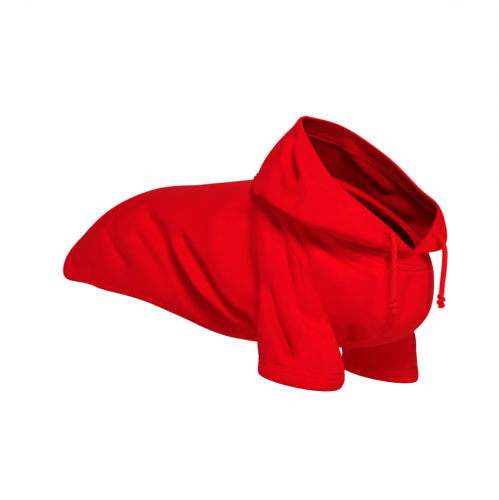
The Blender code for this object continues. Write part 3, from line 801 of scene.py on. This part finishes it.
body_rows = BEFORE_ROWS + ARMHOLE_ROWS + REAR_ROWS
grid_columns, grid_rows = np.meshgrid(
    np.arange(AROUND * BODY_FINE) / BODY_FINE, np.arange(body_rows * BODY_FINE + 1) / BODY_FINE, indexing="ij"
)
neck_lines, hem_lines = seam_rows(band_ends, -1), seam_rows(hem_starts, 1)
grid_lines = body_points(grid_columns, grid_rows)
body_columns = np.concatenate([neck_lines[:, ::-1], top_lines, grid_lines, hem_lines], axis=1)
body = sheet("body_cloth", body_columns, True, CLOTH, in_armhole, rim=False)
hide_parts("torso")

# %% [markdown]
# ## Stitched bands
# A hem is the cloth's edge turned in and sewn down with a twin needle: two rows of stitches about 4 mm apart.
# The double layer swells a little between the stitches and the edge, and each row of stitches draws a groove,
# but for the first, which lies in the seam. The profile says how far out the cloth lies at distances from the
# seam.

# %% Band profile
NEEDLE_GAP = 0.0042
GROOVE = 0.0009
GROOVE_WIDTH = 0.0008
BAND_SWELL = 0.0005
# How far from the seam the swell starts and is whole, and how far from the band's edge it starts to go.
SWELL_START, SWELL_WHOLE, SWELL_END = 0.001, 0.004, 0.003
BAND_TUCK = 0.0012
BAND_STEP = 0.0016
# On both sides of a needle's line lie this many closer steps, and no step is less than this share of one.
NEEDLE_STEP = 0.0005
NEEDLE_STEPS = 3
LEAST_STEP = 0.6


def band_profile(distance, width, needles):
    """How far out the middle of a band's cloth lies, so that its face is level with the next piece's."""
    profile = -(BAND_CLOTH - CLOTH) / 2 + tuck(-distance)
    swell = smooth(SWELL_START, SWELL_WHOLE, distance) * smooth(width, width - SWELL_END, distance)
    return profile + BAND_SWELL * swell - sum(groove(distance, n, GROOVE, GROOVE_WIDTH) for n in needles[1:])


def band_places(width, needles):
    """Distances across a band from its seam, from under the next piece on, and closer near the needles."""
    steps = int(width / BAND_STEP)
    wide = [k * width / steps for k in range(steps + 1)]
    close = [needle + k * NEEDLE_STEP for needle in needles for k in range(-NEEDLE_STEPS, NEEDLE_STEPS + 1)]
    kept = [-BAND_TUCK]
    for place in sorted(wide + close):
        if kept[-1] + NEEDLE_STEP * LEAST_STEP < place <= width:
            kept.append(place)
    kept[-1] = width
    return np.array(kept)


# %% [markdown]
# ## Stitches
# A stitch is a short length of thread that comes out of the cloth, lies on it and goes in again. A picture of
# stitches on the cloth would look flat from the side, so each one is a six-sided rod: its ends are sunk in
# the cloth, and its middle, cut once, is lifted. It has few faces, because the garment has hundreds of them.

# %% Rows of stitches
STITCH = 0.0031
STITCH_GAP = 0.0007
THREAD = 0.00028
STITCH_SEGMENTS = 6
# In radii of the thread: how deep a stitch's ends are sunk, how far its middle is lifted, and how high its
# row lies.
STITCH_SUNK = 0.9
STITCH_LIFT = 1.5
ROW_LIFT = 0.4
ON_CLOTH = CLOTH / 2 + THREAD * ROW_LIFT
ON_BAND = BAND_CLOTH / 2 + THREAD * ROW_LIFT


def stitch_row(work, line, normals, closed):
    """Adds stitches along a line of points: short rods of thread, their ends drawn into the cloth."""
    if closed:
        line = np.concatenate([line, line[:1]])
        normals = np.concatenate([normals, normals[:1]])
    far = distances(line)
    count = int(far[-1] / (STITCH + STITCH_GAP))
    pitch = far[-1] / count
    for k in range(count):
        ends = np.array([k * pitch, (k + STITCH / (STITCH + STITCH_GAP)) * pitch])
        start, end = (Vector([np.interp(e, far, line[:, c]) for c in range(3)]) for e in ends)
        out = Vector([np.interp(ends.mean(), far, normals[:, c]) for c in range(3)]).normalized()
        long = (end - start).length
        rod = bmesh.ops.create_cone(
            work, cap_ends=True, segments=STITCH_SEGMENTS, radius1=THREAD, radius2=THREAD, depth=long
        )["verts"]
        turn = (end - start).to_track_quat("Z", "Y").to_matrix()
        for vertex in rod:
            vertex.co = turn @ vertex.co + (start + end) / 2 - out * THREAD * STITCH_SUNK
        edges = {edge for vertex in rod for edge in vertex.link_edges}
        sides = [edge for edge in edges if abs(edge.calc_length() - long) < MERGE]
        cut = bmesh.ops.subdivide_edges(work, edges=sides, cuts=1)
        for vertex in (g for g in cut["geom_inner"] if isinstance(g, bmesh.types.BMVert)):
            vertex.co += out * THREAD * STITCH_LIFT


def stitching(name, rows):
    """One piece with all the stitches of a band. rows are (line, normals, closed)."""
    work = bmesh.new()
    for line, normals, closed in rows:
        stitch_row(work, line, normals, closed)
    piece = mesh_piece(name, work, thread)
    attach(piece, "root")
    print(name, len(piece.data.polygons), "faces")
    return piece


# %% Body hem
HEM_NEEDLES = (0.0, NEEDLE_GAP)


def needle_rows(points, normals, places, needles, height):
    """The lines of a trunk piece's stitches, on its face, which lies at a height above the cloth's middle."""
    nearest = [np.argmin(np.abs(places - needle)) for needle in needles]
    return [(points[:, k] + normals[:, k] * height, normals[:, k], True) for k in nearest]


def trunk_band(name, node, seam, onward, width, needles):
    """A band round the trunk from a seam to the cloth's edge, with the rows of its stitches."""
    places = band_places(width, needles)
    middle, normals = trunk_rows(seam, onward * places)
    points = middle + normals * band_profile(places, width, needles)[None, :, None]
    piece = sheet(name, points[:, ::onward], True, BAND_CLOTH, soften=1)
    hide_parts(node)
    rows = needle_rows(points, normals, places, needles, ON_BAND)
    return piece, stitching(name + "_stitches", rows)


body_hem, body_hem_stitches = trunk_band(
    "body_hem_cloth", "body_hem", hem_starts, 1, BODY_HEM_WIDTH, HEM_NEEDLES
)

# %% Neck topstitches
top_rows = needle_rows(top_lines, top_normals, TOP_PLACES, TOP_NEEDLES, ON_CLOTH)
neck_topstitches = stitching("neck_topstitches", top_rows)

# %% Neck band
NECK_NEEDLES = (0.0, 0.0030)
neck_band, neck_band_stitches = trunk_band(
    "neck_band_cloth", "neck_band", band_ends, -1, NECK_BAND_WIDTH, NECK_NEEDLES
)

# %% [markdown]
# ## Sleeves
# Each sleeve starts on the armhole's edge and ends at a round cuff. A line of cloth leaves the armhole along
# the shoulder at the top, or straight down under the arm, and arrives at the cuff along its axis.

# %% Sleeve form
CUFF_RADIUS = 0.0345
CUFF_SPREAD = 0.061
CUFF_DROP = 0.176
CUFF_TILT = math.radians(13)
SLEEVE_EASE = 0.070
SLEEVE_FLARE = 8
SLEEVE_HEM_WIDTH = 0.015
# How far forward of the origin each cuff is, and how much the sleeve's front swells forward as it leaves the
# armhole and comes back as it reaches the cuff.
SLEEVE_SIDES = {1: (0.0272, 0.0, 0.0), -1: (0.0317, 0.5, 0.6)}
# How high or low on the armhole a line starts, from -1 at its top to 1, where it begins to flare or to hang
# free.
FLARE_SPAN = (-1.0, 0.7)
LOOSE_SPAN = (0.1, 0.9)
DOWN = np.array([0.0, 0.0, -1.0])


def armhole_place(turn):
    """The place on the armhole's edge, counted in cells from its middle, at shares of a turn round it."""
    edge = turn % 1 * 4
    part = np.floor(edge).astype(int)
    share = edge % 1 * 2 - 1
    ones = np.ones_like(share)
    across = np.choose(part, (-ones, share, ones, -share))
    down = np.choose(part, (share, ones, -share, -ones))
    return across * ARMHOLE_COLUMNS / 2, down * ARMHOLE_ROWS / 2


def sleeve(side, turn, f):
    """Points of a sleeve's smooth form: turn is a share of a turn round it and f how far down it is."""
    turn, f = np.broadcast_arrays(np.asarray(turn, float), np.asarray(f, float))
    forward, push, lean = SLEEVE_SIDES[side]
    across, down = armhole_place(turn)
    column = ARMHOLE_COLUMN + across if side > 0 else AROUND - ARMHOLE_COLUMN - across
    column, row = open_armhole(column, BEFORE_ROWS + ARMHOLE_ROWS / 2 + down)
    angle = math.tau * column / AROUND
    along = trunk_along(row, angle)
    start = trunk_cloth(along, angle)
    towards = unit(np.stack([across / ARMHOLE_COLUMNS, down / ARMHOLE_ROWS], axis=-1))
    lowness = smooth(*FLARE_SPAN, towards[..., 0])[..., None]
    frontness = smooth(0, 1, -towards[..., 1])
    flat = outward(along, angle)
    downhill = unit(DOWN - flat * (flat @ DOWN)[..., None])
    flare = np.array([0, side * SLEEVE_FLARE, 0]) * lowness * (1 - lowness)
    flare = flare + (push * frontness)[..., None] * np.array([1, 0, 0])
    loose = smooth(*LOOSE_SPAN, towards[..., 0])[..., None]
    heading = unit(lerp(downhill, unit(DOWN + flare), loose))
    front = -towards[..., 1] * CUFF_RADIUS
    end = np.stack([
        forward + front * math.cos(CUFF_TILT),
        side * (CUFF_SPREAD - towards[..., 0] * CUFF_RADIUS),
        -CUFF_DROP - front * math.sin(CUFF_TILT),
    ], axis=-1)
    ease = (SLEEVE_EASE**-4 + np.linalg.norm(start - end, axis=-1) ** -4.0) ** -0.25
    back = -math.sin(CUFF_TILT) - lean * frontness
    arrive = np.stack([back, 0 * back, np.full_like(back, -math.cos(CUFF_TILT))], axis=-1)
    return hermite(start, heading * ease[..., None], end, arrive * ease[..., None], f[..., None])


sleeve_paths = fold_paths(SLEEVE_FOLDS + SLEEVE_CREASES, sleeve) + shoulder_paths
print(len(sleeve_paths), "folds on the sleeves")


# %% Sleeves and their cuffs
CUFF_NEEDLES = (0.0, NEEDLE_GAP)
SLEEVE_TURNS = 288
SLEEVE_ROWS = 64
LINE_STEPS = 80
# The folds fade out towards the armhole and the cuff, over this share of the sleeve.
SLEEVE_FADE = 0.15


def sleeve_lines(side, turns):
    """The sleeve's cloth from the armhole to the cuff, at shares of a turn round it, folds included."""
    f = np.linspace(0, 1, LINE_STEPS + 1)
    points = sleeve(side, turns[:, None], f[None, :])
    angle = side * math.tau * ARMHOLE_COLUMN / AROUND
    top = trunk(trunk_along(BEFORE_ROWS + ARMHOLE_ROWS / 2, angle), angle)
    cuff = np.array([SLEEVE_SIDES[side][0], side * CUFF_SPREAD, -CUFF_DROP])
    out = unit(points - lerp(top, cuff, f[:, None]))
    lift = crease(points, sleeve_paths) * smooth(0, SLEEVE_FADE, f) * smooth(1, 1 - SLEEVE_FADE, f)
    return points + out * lift[..., None], out


def level(out):
    """The outward directions of a line, made level."""
    return unit(out * np.array([1, 1, 0]))


def build_sleeve(name, side):
    """A sleeve's cloth, its cuff and the cuff's stitches. The turns run so that the faces point outwards."""
    turns = np.arange(SLEEVE_TURNS)[::-side] / SLEEVE_TURNS
    lines, outs = sleeve_lines(side, turns)
    upper, band, needles = [], [], {needle: ([], []) for needle in CUFF_NEEDLES}
    places = band_places(SLEEVE_HEM_WIDTH, CUFF_NEEDLES)
    profile = band_profile(places, SLEEVE_HEM_WIDTH, CUFF_NEEDLES)
    for line, out in zip(lines, outs):
        stitch = distances(line)[-1] - SLEEVE_HEM_WIDTH
        away = level(out[-1])
        end = read_line(line, stitch + TUCK_PLACES) + away * tuck(TUCK_PLACES)[:, None]
        start = read_line(line, np.linspace(0, stitch - SEAM_MARGIN, SLEEVE_ROWS + 1))
        upper.append(np.concatenate([start, end]))
        band.append(read_line(line, stitch + places) + away * profile[:, None])
        for needle, (row, normals) in needles.items():
            k = np.argmin(np.abs(places - needle))
            row.append(band[-1][k] + away * ON_BAND)
            normals.append(away)
    upper_piece = sheet("sleeve_cloth_" + name, upper, True, CLOTH, rim=False)
    band_piece = sheet("sleeve_hem_cloth_" + name, band, True, BAND_CLOTH, soften=1)
    rows = [(np.array(row), np.array(normals), True) for row, normals in needles.values()]
    stitches = stitching("sleeve_hem_stitches_" + name, rows)
    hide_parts("sleeve_" + name)
    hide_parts("sleeve_hem_" + name)
    return upper_piece, band_piece, stitches


sleeves = {name: build_sleeve(name, side) for name, side in (("left", 1), ("right", -1))}

# %% [markdown]
# ## Hood
# The hood is folded back and lies round the neck as a wide collar. Its cloth rises from the neck seam, bulges
# over the shoulders and turns in to its rim, which closes to a V on the chest. Its lower edge rolls out and
# down over the neck seam and shades it. The last 19 mm are the casing, a turned edge that the drawcord runs
# in.

# %% Hood form
HOOD_HEIGHT = 0.056
HOOD_BULGE = 0.040
HOOD_RISE = 0.0040
# The first column is a share of half a turn round the neck, from the middle of the back to the V. Then come
# rim_x as a share of BACK_LENGTH, rim_y of CHEST_WIDTH and rim_z of HOOD_HEIGHT, and the bulges out and down
# from the seam and from the rim, as shares of HOOD_BULGE.
HOOD_SECTIONS = (
    (0.00, -0.024, 0.000, 1.000, 2.15, 0.30, 0.80, 0.30),
    (0.20, 0.035, 0.205, 0.860, 1.85, 0.56, 1.00, 1.60),
    (0.40, 0.142, 0.360, 0.375, 1.40, 0.91, 0.80, 1.40),
    (0.60, 0.240, 0.415, -0.160, 0.95, 0.75, 0.55, 0.70),
    (0.80, 0.312, 0.400, -0.480, 0.55, 0.45, 0.20, 0.25),
    (0.92, 0.354, 0.178, -0.920, 0.30, 0.20, 0.10, 0.10),
    (1.00, 0.352, 0.012, -1.232, 0.10, 0.00, 0.05, 0.00),
)


def hood_upright():
    """The direction across the neck seam's plane, towards the head."""
    lean = trunk(0, 0) - trunk(0, math.pi)
    return unit(np.array([lean[2], 0, -lean[0]]))


def hood(side, around, f):
    """Points of the hood's smooth form: around is a share of half a turn to the V, f runs to the rim."""
    around, f = np.broadcast_arrays(np.asarray(around, float), np.asarray(f, float))
    sections = np.moveaxis(keyed(HOOD_SECTIONS, around), -1, 0)
    rim_x, rim_y, rim_z, seam_out, seam_down, rim_out, rim_down = sections
    angle = around * math.pi
    seam = trunk(np.zeros_like(angle), angle) + hood_upright() * HOOD_RISE
    away = np.stack([-np.cos(angle), np.sin(angle), 0 * angle], axis=-1) * HOOD_BULGE
    down = np.array([0, 0, -HOOD_BULGE])
    rim = np.stack([rim_x * BACK_LENGTH, rim_y * CHEST_WIDTH, rim_z * HOOD_HEIGHT], axis=-1)
    leave = seam + away * seam_out[..., None] + down * seam_down[..., None]
    arrive = rim + away * rim_out[..., None] + down * rim_down[..., None]
    f = f[..., None]
    g = 1 - f
    point = seam * g**3 + leave * 3 * g * g * f + arrive * 3 * g * f * f + rim * f**3
    return point * np.array([1, side, 1])


hood_paths = fold_paths(HOOD_FOLDS + HOOD_CREASES, hood)
print(len(hood_paths), "folds on the hood")

# %% Hood cloth with its folds and its rolled edge
ROLL_OUT = 0.0040
ROLL_DOWN = 0.0045
# Shares of the way from seam to rim: where the roll is widest and where it ends, how far the furrow draws the
# hood, where its folds are whole, and where its cloth has come back from above the seam to its form.
ROLL_WIDEST, ROLL_END = 0.07, 0.35
FURROW_END = 0.06
HOOD_FADE = 0.1
RISE_END = 0.15
# Shares of half a turn from the spine where the roll is gone and whole.
ROLL_FADE = (0.92, 0.65)


def hood_lines(arounds):
    """The hood's cloth from seam to rim, folds included. around is -1 and 1 at the V and 0 at the back."""
    f = np.linspace(0, 1, LINE_STEPS + 1)[None, :]
    side = np.where(arounds < 0, -1, 1)[:, None, None]
    away = np.abs(arounds)[:, None]
    points = hood(1, away, f)
    up = hood(1, away, f + TINY) - hood(1, away, f - TINY)
    forward = hood(1, away + TINY, f) - hood(1, away - TINY, f)
    mirror = np.where(side < 0, np.array([1, -1, 1]), 1)
    points = points * mirror
    out = unit(np.cross(up, forward)) * mirror
    lift = crease(points, hood_paths) * smooth(0, HOOD_FADE, f)
    roll = smooth(0, ROLL_WIDEST, f) * smooth(ROLL_END, ROLL_WIDEST, f) * smooth(*ROLL_FADE, away)
    roll = roll[..., None]
    drawn = (NECK_DRAW * smooth(FURROW_END, 0, f) * smooth(*NECK_DRAW_FADE, away))[..., None]
    base = outward(0 * away, side[..., 0] * away * math.pi)
    points = points + out * lift[..., None] + level(out) * (ROLL_OUT * roll) - base * drawn
    return points - hood_upright() * (HOOD_RISE * smooth(RISE_END, 0, f)[..., None] + ROLL_DOWN * roll), out


# %% Hood
CASING_WIDTH = 0.019
HOOD_LEAST = 0.010
HOOD_COLUMNS = 264
HOOD_ROWS = 48
END_TRIES = 401


def hood_end():
    """How far round the neck the hood reaches before nothing but its casing is left."""
    arounds = np.linspace(0.5, 1.0, END_TRIES)
    lengths = distances(hood_lines(arounds)[0])[:, -1]
    return arounds[lengths - CASING_WIDTH > HOOD_LEAST].max()


end = hood_end()
print("the hood's cloth ends at", round(float(end), 3), "of the way round to the V")
arounds = np.linspace(end, -end, HOOD_COLUMNS + 1)
cloth_columns = []
for line, out in zip(*hood_lines(arounds)):
    far = distances(line)
    stitch = far[-1] - CASING_WIDTH
    normal = np.array([np.interp(stitch, far, out[:, k]) for k in range(3)])
    edge = read_line(line, stitch + TUCK_PLACES) + normal * tuck(TUCK_PLACES)[:, None]
    start = read_line(line, np.linspace(0, stitch - SEAM_MARGIN, HOOD_ROWS + 1))
    cloth_columns.append(np.concatenate([start, edge]))
hood_piece = sheet("hood_cloth", cloth_columns, False, CLOTH)
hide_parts("hood")

# %% Casing
CASING_NEEDLES = (0.0, 0.0036)
# The casing runs on alone from the hood's end to near the V, in this many columns on each side.
CASING_END = 0.995
CASING_END_COLUMNS = 8

beyond = np.linspace(end, CASING_END, CASING_END_COLUMNS + 1)[1:]
casing_columns, casing_rows = [], {needle: ([], []) for needle in CASING_NEEDLES}
places = band_places(CASING_WIDTH, CASING_NEEDLES)
profile = band_profile(places, CASING_WIDTH, CASING_NEEDLES)
casing_arounds = np.concatenate([beyond[::-1], arounds, -beyond])
for line, out in zip(*hood_lines(casing_arounds)):
    far = distances(line)
    stitch = far[-1] - CASING_WIDTH
    normals = np.stack([np.interp(stitch + places, far, out[:, k]) for k in range(3)], axis=-1)
    casing_columns.append(read_line(line, stitch + places) + normals * profile[:, None])
    for needle, (row, outs) in casing_rows.items():
        k = np.argmin(np.abs(places - needle))
        row.append(casing_columns[-1][k] + normals[k] * ON_BAND)
        outs.append(normals[k])
casing = sheet("hood_casing_cloth", casing_columns, False, BAND_CLOTH, soften=1)
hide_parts("hood_casing")
stitch_lines = [(np.array(row), np.array(outs), False) for row, outs in casing_rows.values()]
casing_stitches = stitching("casing_stitches", stitch_lines)

# %% [markdown]
# ## Drawcords
# Each cord comes out of the casing's cloth beside the V and hangs down the chest, pulled straight by its
# knot. It is a curve with a round bevel, so that its length and its bends can be measured.

# %% Cords
CORD_DIAMETER = 0.0048
CORD_POINTS = 24
FINE_POINTS = 120
# Each route starts where the cord comes out and ends at its knot.
CORD_ROUTES = {
    "left": (
        (0.1100, 0.0315, -0.0533),
        (0.1137, 0.0324, -0.0588),
        (0.1158, 0.0330, -0.0660),
        (0.1160, 0.0328, -0.0740),
        (0.1156, 0.0320, -0.0840),
        (0.1148, 0.0310, -0.0940),
        (0.1142, 0.0303, -0.1040),
    ),
    "right": (
        (0.1106, -0.0387, -0.0548),
        (0.1134, -0.0400, -0.0594),
        (0.1146, -0.0407, -0.0660),
        (0.1147, -0.0408, -0.0740),
        (0.1142, -0.0405, -0.0845),
        (0.1136, -0.0402, -0.0965),
        (0.1132, -0.0400, -0.1085),
    ),
}


def cord_line(side):
    """Evenly spaced points of a cord on a smooth curve through its route."""
    route = CORD_ROUTES[side]
    line = spline(route, np.linspace(0, len(route) - 1, FINE_POINTS))
    return read_line(line, np.linspace(0, distances(line)[-1], CORD_POINTS + 1))


def tube(name, points, diameter, material):
    """A round cord through points, as a curve."""
    curve = bpy.data.curves.new(name, "CURVE")
    curve.dimensions = "3D"
    curve.bevel_depth = diameter / 2
    curve.bevel_resolution = 6
    curve.use_fill_caps = True
    line = curve.splines.new("POLY")
    line.points.add(len(points) - 1)
    for point, place in zip(line.points, points):
        point.co = (*place, 1)
    line.use_smooth = True
    piece = bpy.data.objects.new(name, curve)
    bpy.context.scene.collection.objects.link(piece)
    curve.materials.append(material)
    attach(piece, "root")
    return piece


for side in CORD_ROUTES:
    points = cord_line(side)
    length = float(distances(points)[-1])
    tube(
        "drawcord_" + side, points, CORD_DIAMETER,
        braid("braided cotton cord, " + side, length, math.pi * CORD_DIAMETER),
    )
    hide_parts("cord_" + side)
    print("cord", side, round(length * 1000, 1), "mm")

# %% [markdown]
# ## Knots
# Each cord ends in a small barrel knot: the cord is wound twice round itself and pulled tight, so that its
# two turns lie on each other as two round lumps, and its short end sticks out below. The turns are a tight
# coil of the same braid, a little thinner for the pull on it, and the coil closes to the cord's middle at
# both ends.

# %% Barrel knots
KNOT_CORD = 0.0042
KNOT_TURN_RADIUS = 0.0017
KNOT_TURNS = 2
KNOT_LENGTH = 0.0125
KNOT_POINTS = 60
# The share of the coil in which it opens from the cord's middle, or closes to it.
KNOT_CLOSING = 0.12
# How far below the knot's top the coil starts, and how far above its end the coil and the cord's own end
# stop.
KNOT_START = 0.0004
COIL_STOP = 0.0022
END_STOP = 0.0006
# About how much cord is in a knot, for the spacing of its braid.
KNOT_WOUND = 0.03

for side in CORD_ROUTES:
    points = cord_line(side)
    way = unit(points[-1] - points[-2])
    turn = Vector(way).to_track_quat("Z", "Y").to_matrix()
    share = np.linspace(0, 1, KNOT_POINTS)
    spin = share * KNOT_TURNS * math.tau
    swing = KNOT_TURN_RADIUS * smooth(0, KNOT_CLOSING, share) * smooth(1, 1 - KNOT_CLOSING, share)
    drop = lerp(KNOT_START, KNOT_LENGTH - COIL_STOP, share)
    coil = np.stack([swing * np.cos(spin), swing * np.sin(spin), drop], axis=-1)
    coil = np.concatenate([coil, [[0, 0, KNOT_LENGTH - END_STOP]]])
    placed = [turn @ Vector(p) + Vector(points[-1]) for p in coil]
    tube(
        "knot_cord_" + side, placed, KNOT_CORD,
        braid("braided cotton knot, " + side, KNOT_WOUND, math.pi * KNOT_CORD),
    )
    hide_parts("knot_" + side)

# %% [markdown]
# ## Cloth areas
# The area of each sheet of cloth, before its wall, is worked out and printed.

# %% Cloth areas
def cloth_area(piece):
    """The area of a sheet's cloth, before its wall."""
    return sum(face.area for face in piece.data.polygons)


for side in CORD_ROUTES:
    points = cord_line(side)
for piece in (body, hood_piece, body_hem, neck_band, casing, *(p for s in sleeves.values() for p in s[:2])):
    print(piece.name, round(cloth_area(piece), 4), "m2")

# %% [markdown]
# ## Floor and light
# A pale floor at ground level, and four square lights. The key light stands above the camera and is the
# smallest but one, so that the folds and the hood throw clear but soft shadows. The others fill the sides and
# the back. The floor's paper glows for the camera alone, so that the picture stays white down to its lower
# edge.

# %% Floor
FLOOR_Z = -0.275
FLOOR_REACH = 6
WHITE = linear("#FFFFFF")
PAPER_FINISH = {"Base Color": linear("#F6F6F6"), "Roughness": 0.9, "Emission Color": WHITE}

work = bmesh.new()
bmesh.ops.create_grid(work, x_segments=1, y_segments=1, size=FLOOR_REACH)
bmesh.ops.translate(work, verts=work.verts, vec=(0, 0, FLOOR_Z))
paper, tree, shader = start_material("matte white paper", PAPER_FINISH)
seen = add(tree, "ShaderNodeLightPath")
tree.links.new(seen.outputs["Is Camera Ray"], shader.inputs["Emission Strength"])
mesh_piece("studio_floor", work, paper)

# %% Lights
GARMENT_MIDDLE = Vector((0, 0, -0.1))
# Each light's place towards the camera, to the right and up, in metres from the origin, its size and its
# power.
LIGHTS = {
    "key light": (1.0, 0.1, 0.7, 0.4, 12.8),
    "left light": (0.3, -1.2, 0.45, 0.6, 4.2),
    "right light": (0.4, 1.1, -0.1, 0.3, 3.4),
    "back light": (-1.1, 0.2, 0.9, 0.8, 7.0),
}
for name, (near, beside, above, size, power) in LIGHTS.items():
    light = bpy.data.lights.new(name, "AREA")
    light.size = size
    light.energy = power
    lamp = bpy.data.objects.new(name, light)
    lamp.location = towards_camera * near + to_right * beside + Vector((0, 0, above))
    lamp.rotation_euler = (GARMENT_MIDDLE - lamp.location).to_track_quat("-Z", "Y").to_euler()
    bpy.context.scene.collection.objects.link(lamp)
    print(name, "of", power, "W")

# %% [markdown]
# ## White room
# The room is white, as in a catalogue picture: the camera sees it at full brightness, while the cloth gets
# only as much of its light as leaves the folds their shade. A gamma a little below 1 deepens the shades in
# the folds further, as the photograph has them.

# %% White room
ROOM_LIGHT = 0.05
PICTURE_GAMMA = 0.82
world = bpy.data.worlds.new("studio")
bpy.context.scene.world = world
world.use_nodes = True
room = world.node_tree
seen = add(room, "ShaderNodeLightPath")
strength = add(
    room, "ShaderNodeMapRange", {"Value": seen.outputs["Is Camera Ray"]},
    {"To Min": ROOM_LIGHT, "To Max": 1.0},
)
room.nodes["Background"].inputs["Color"].default_value = WHITE
room.links.new(strength.outputs[0], room.nodes["Background"].inputs["Strength"])
bpy.context.scene.view_settings.view_transform = "Standard"
bpy.context.scene.view_settings.gamma = PICTURE_GAMMA
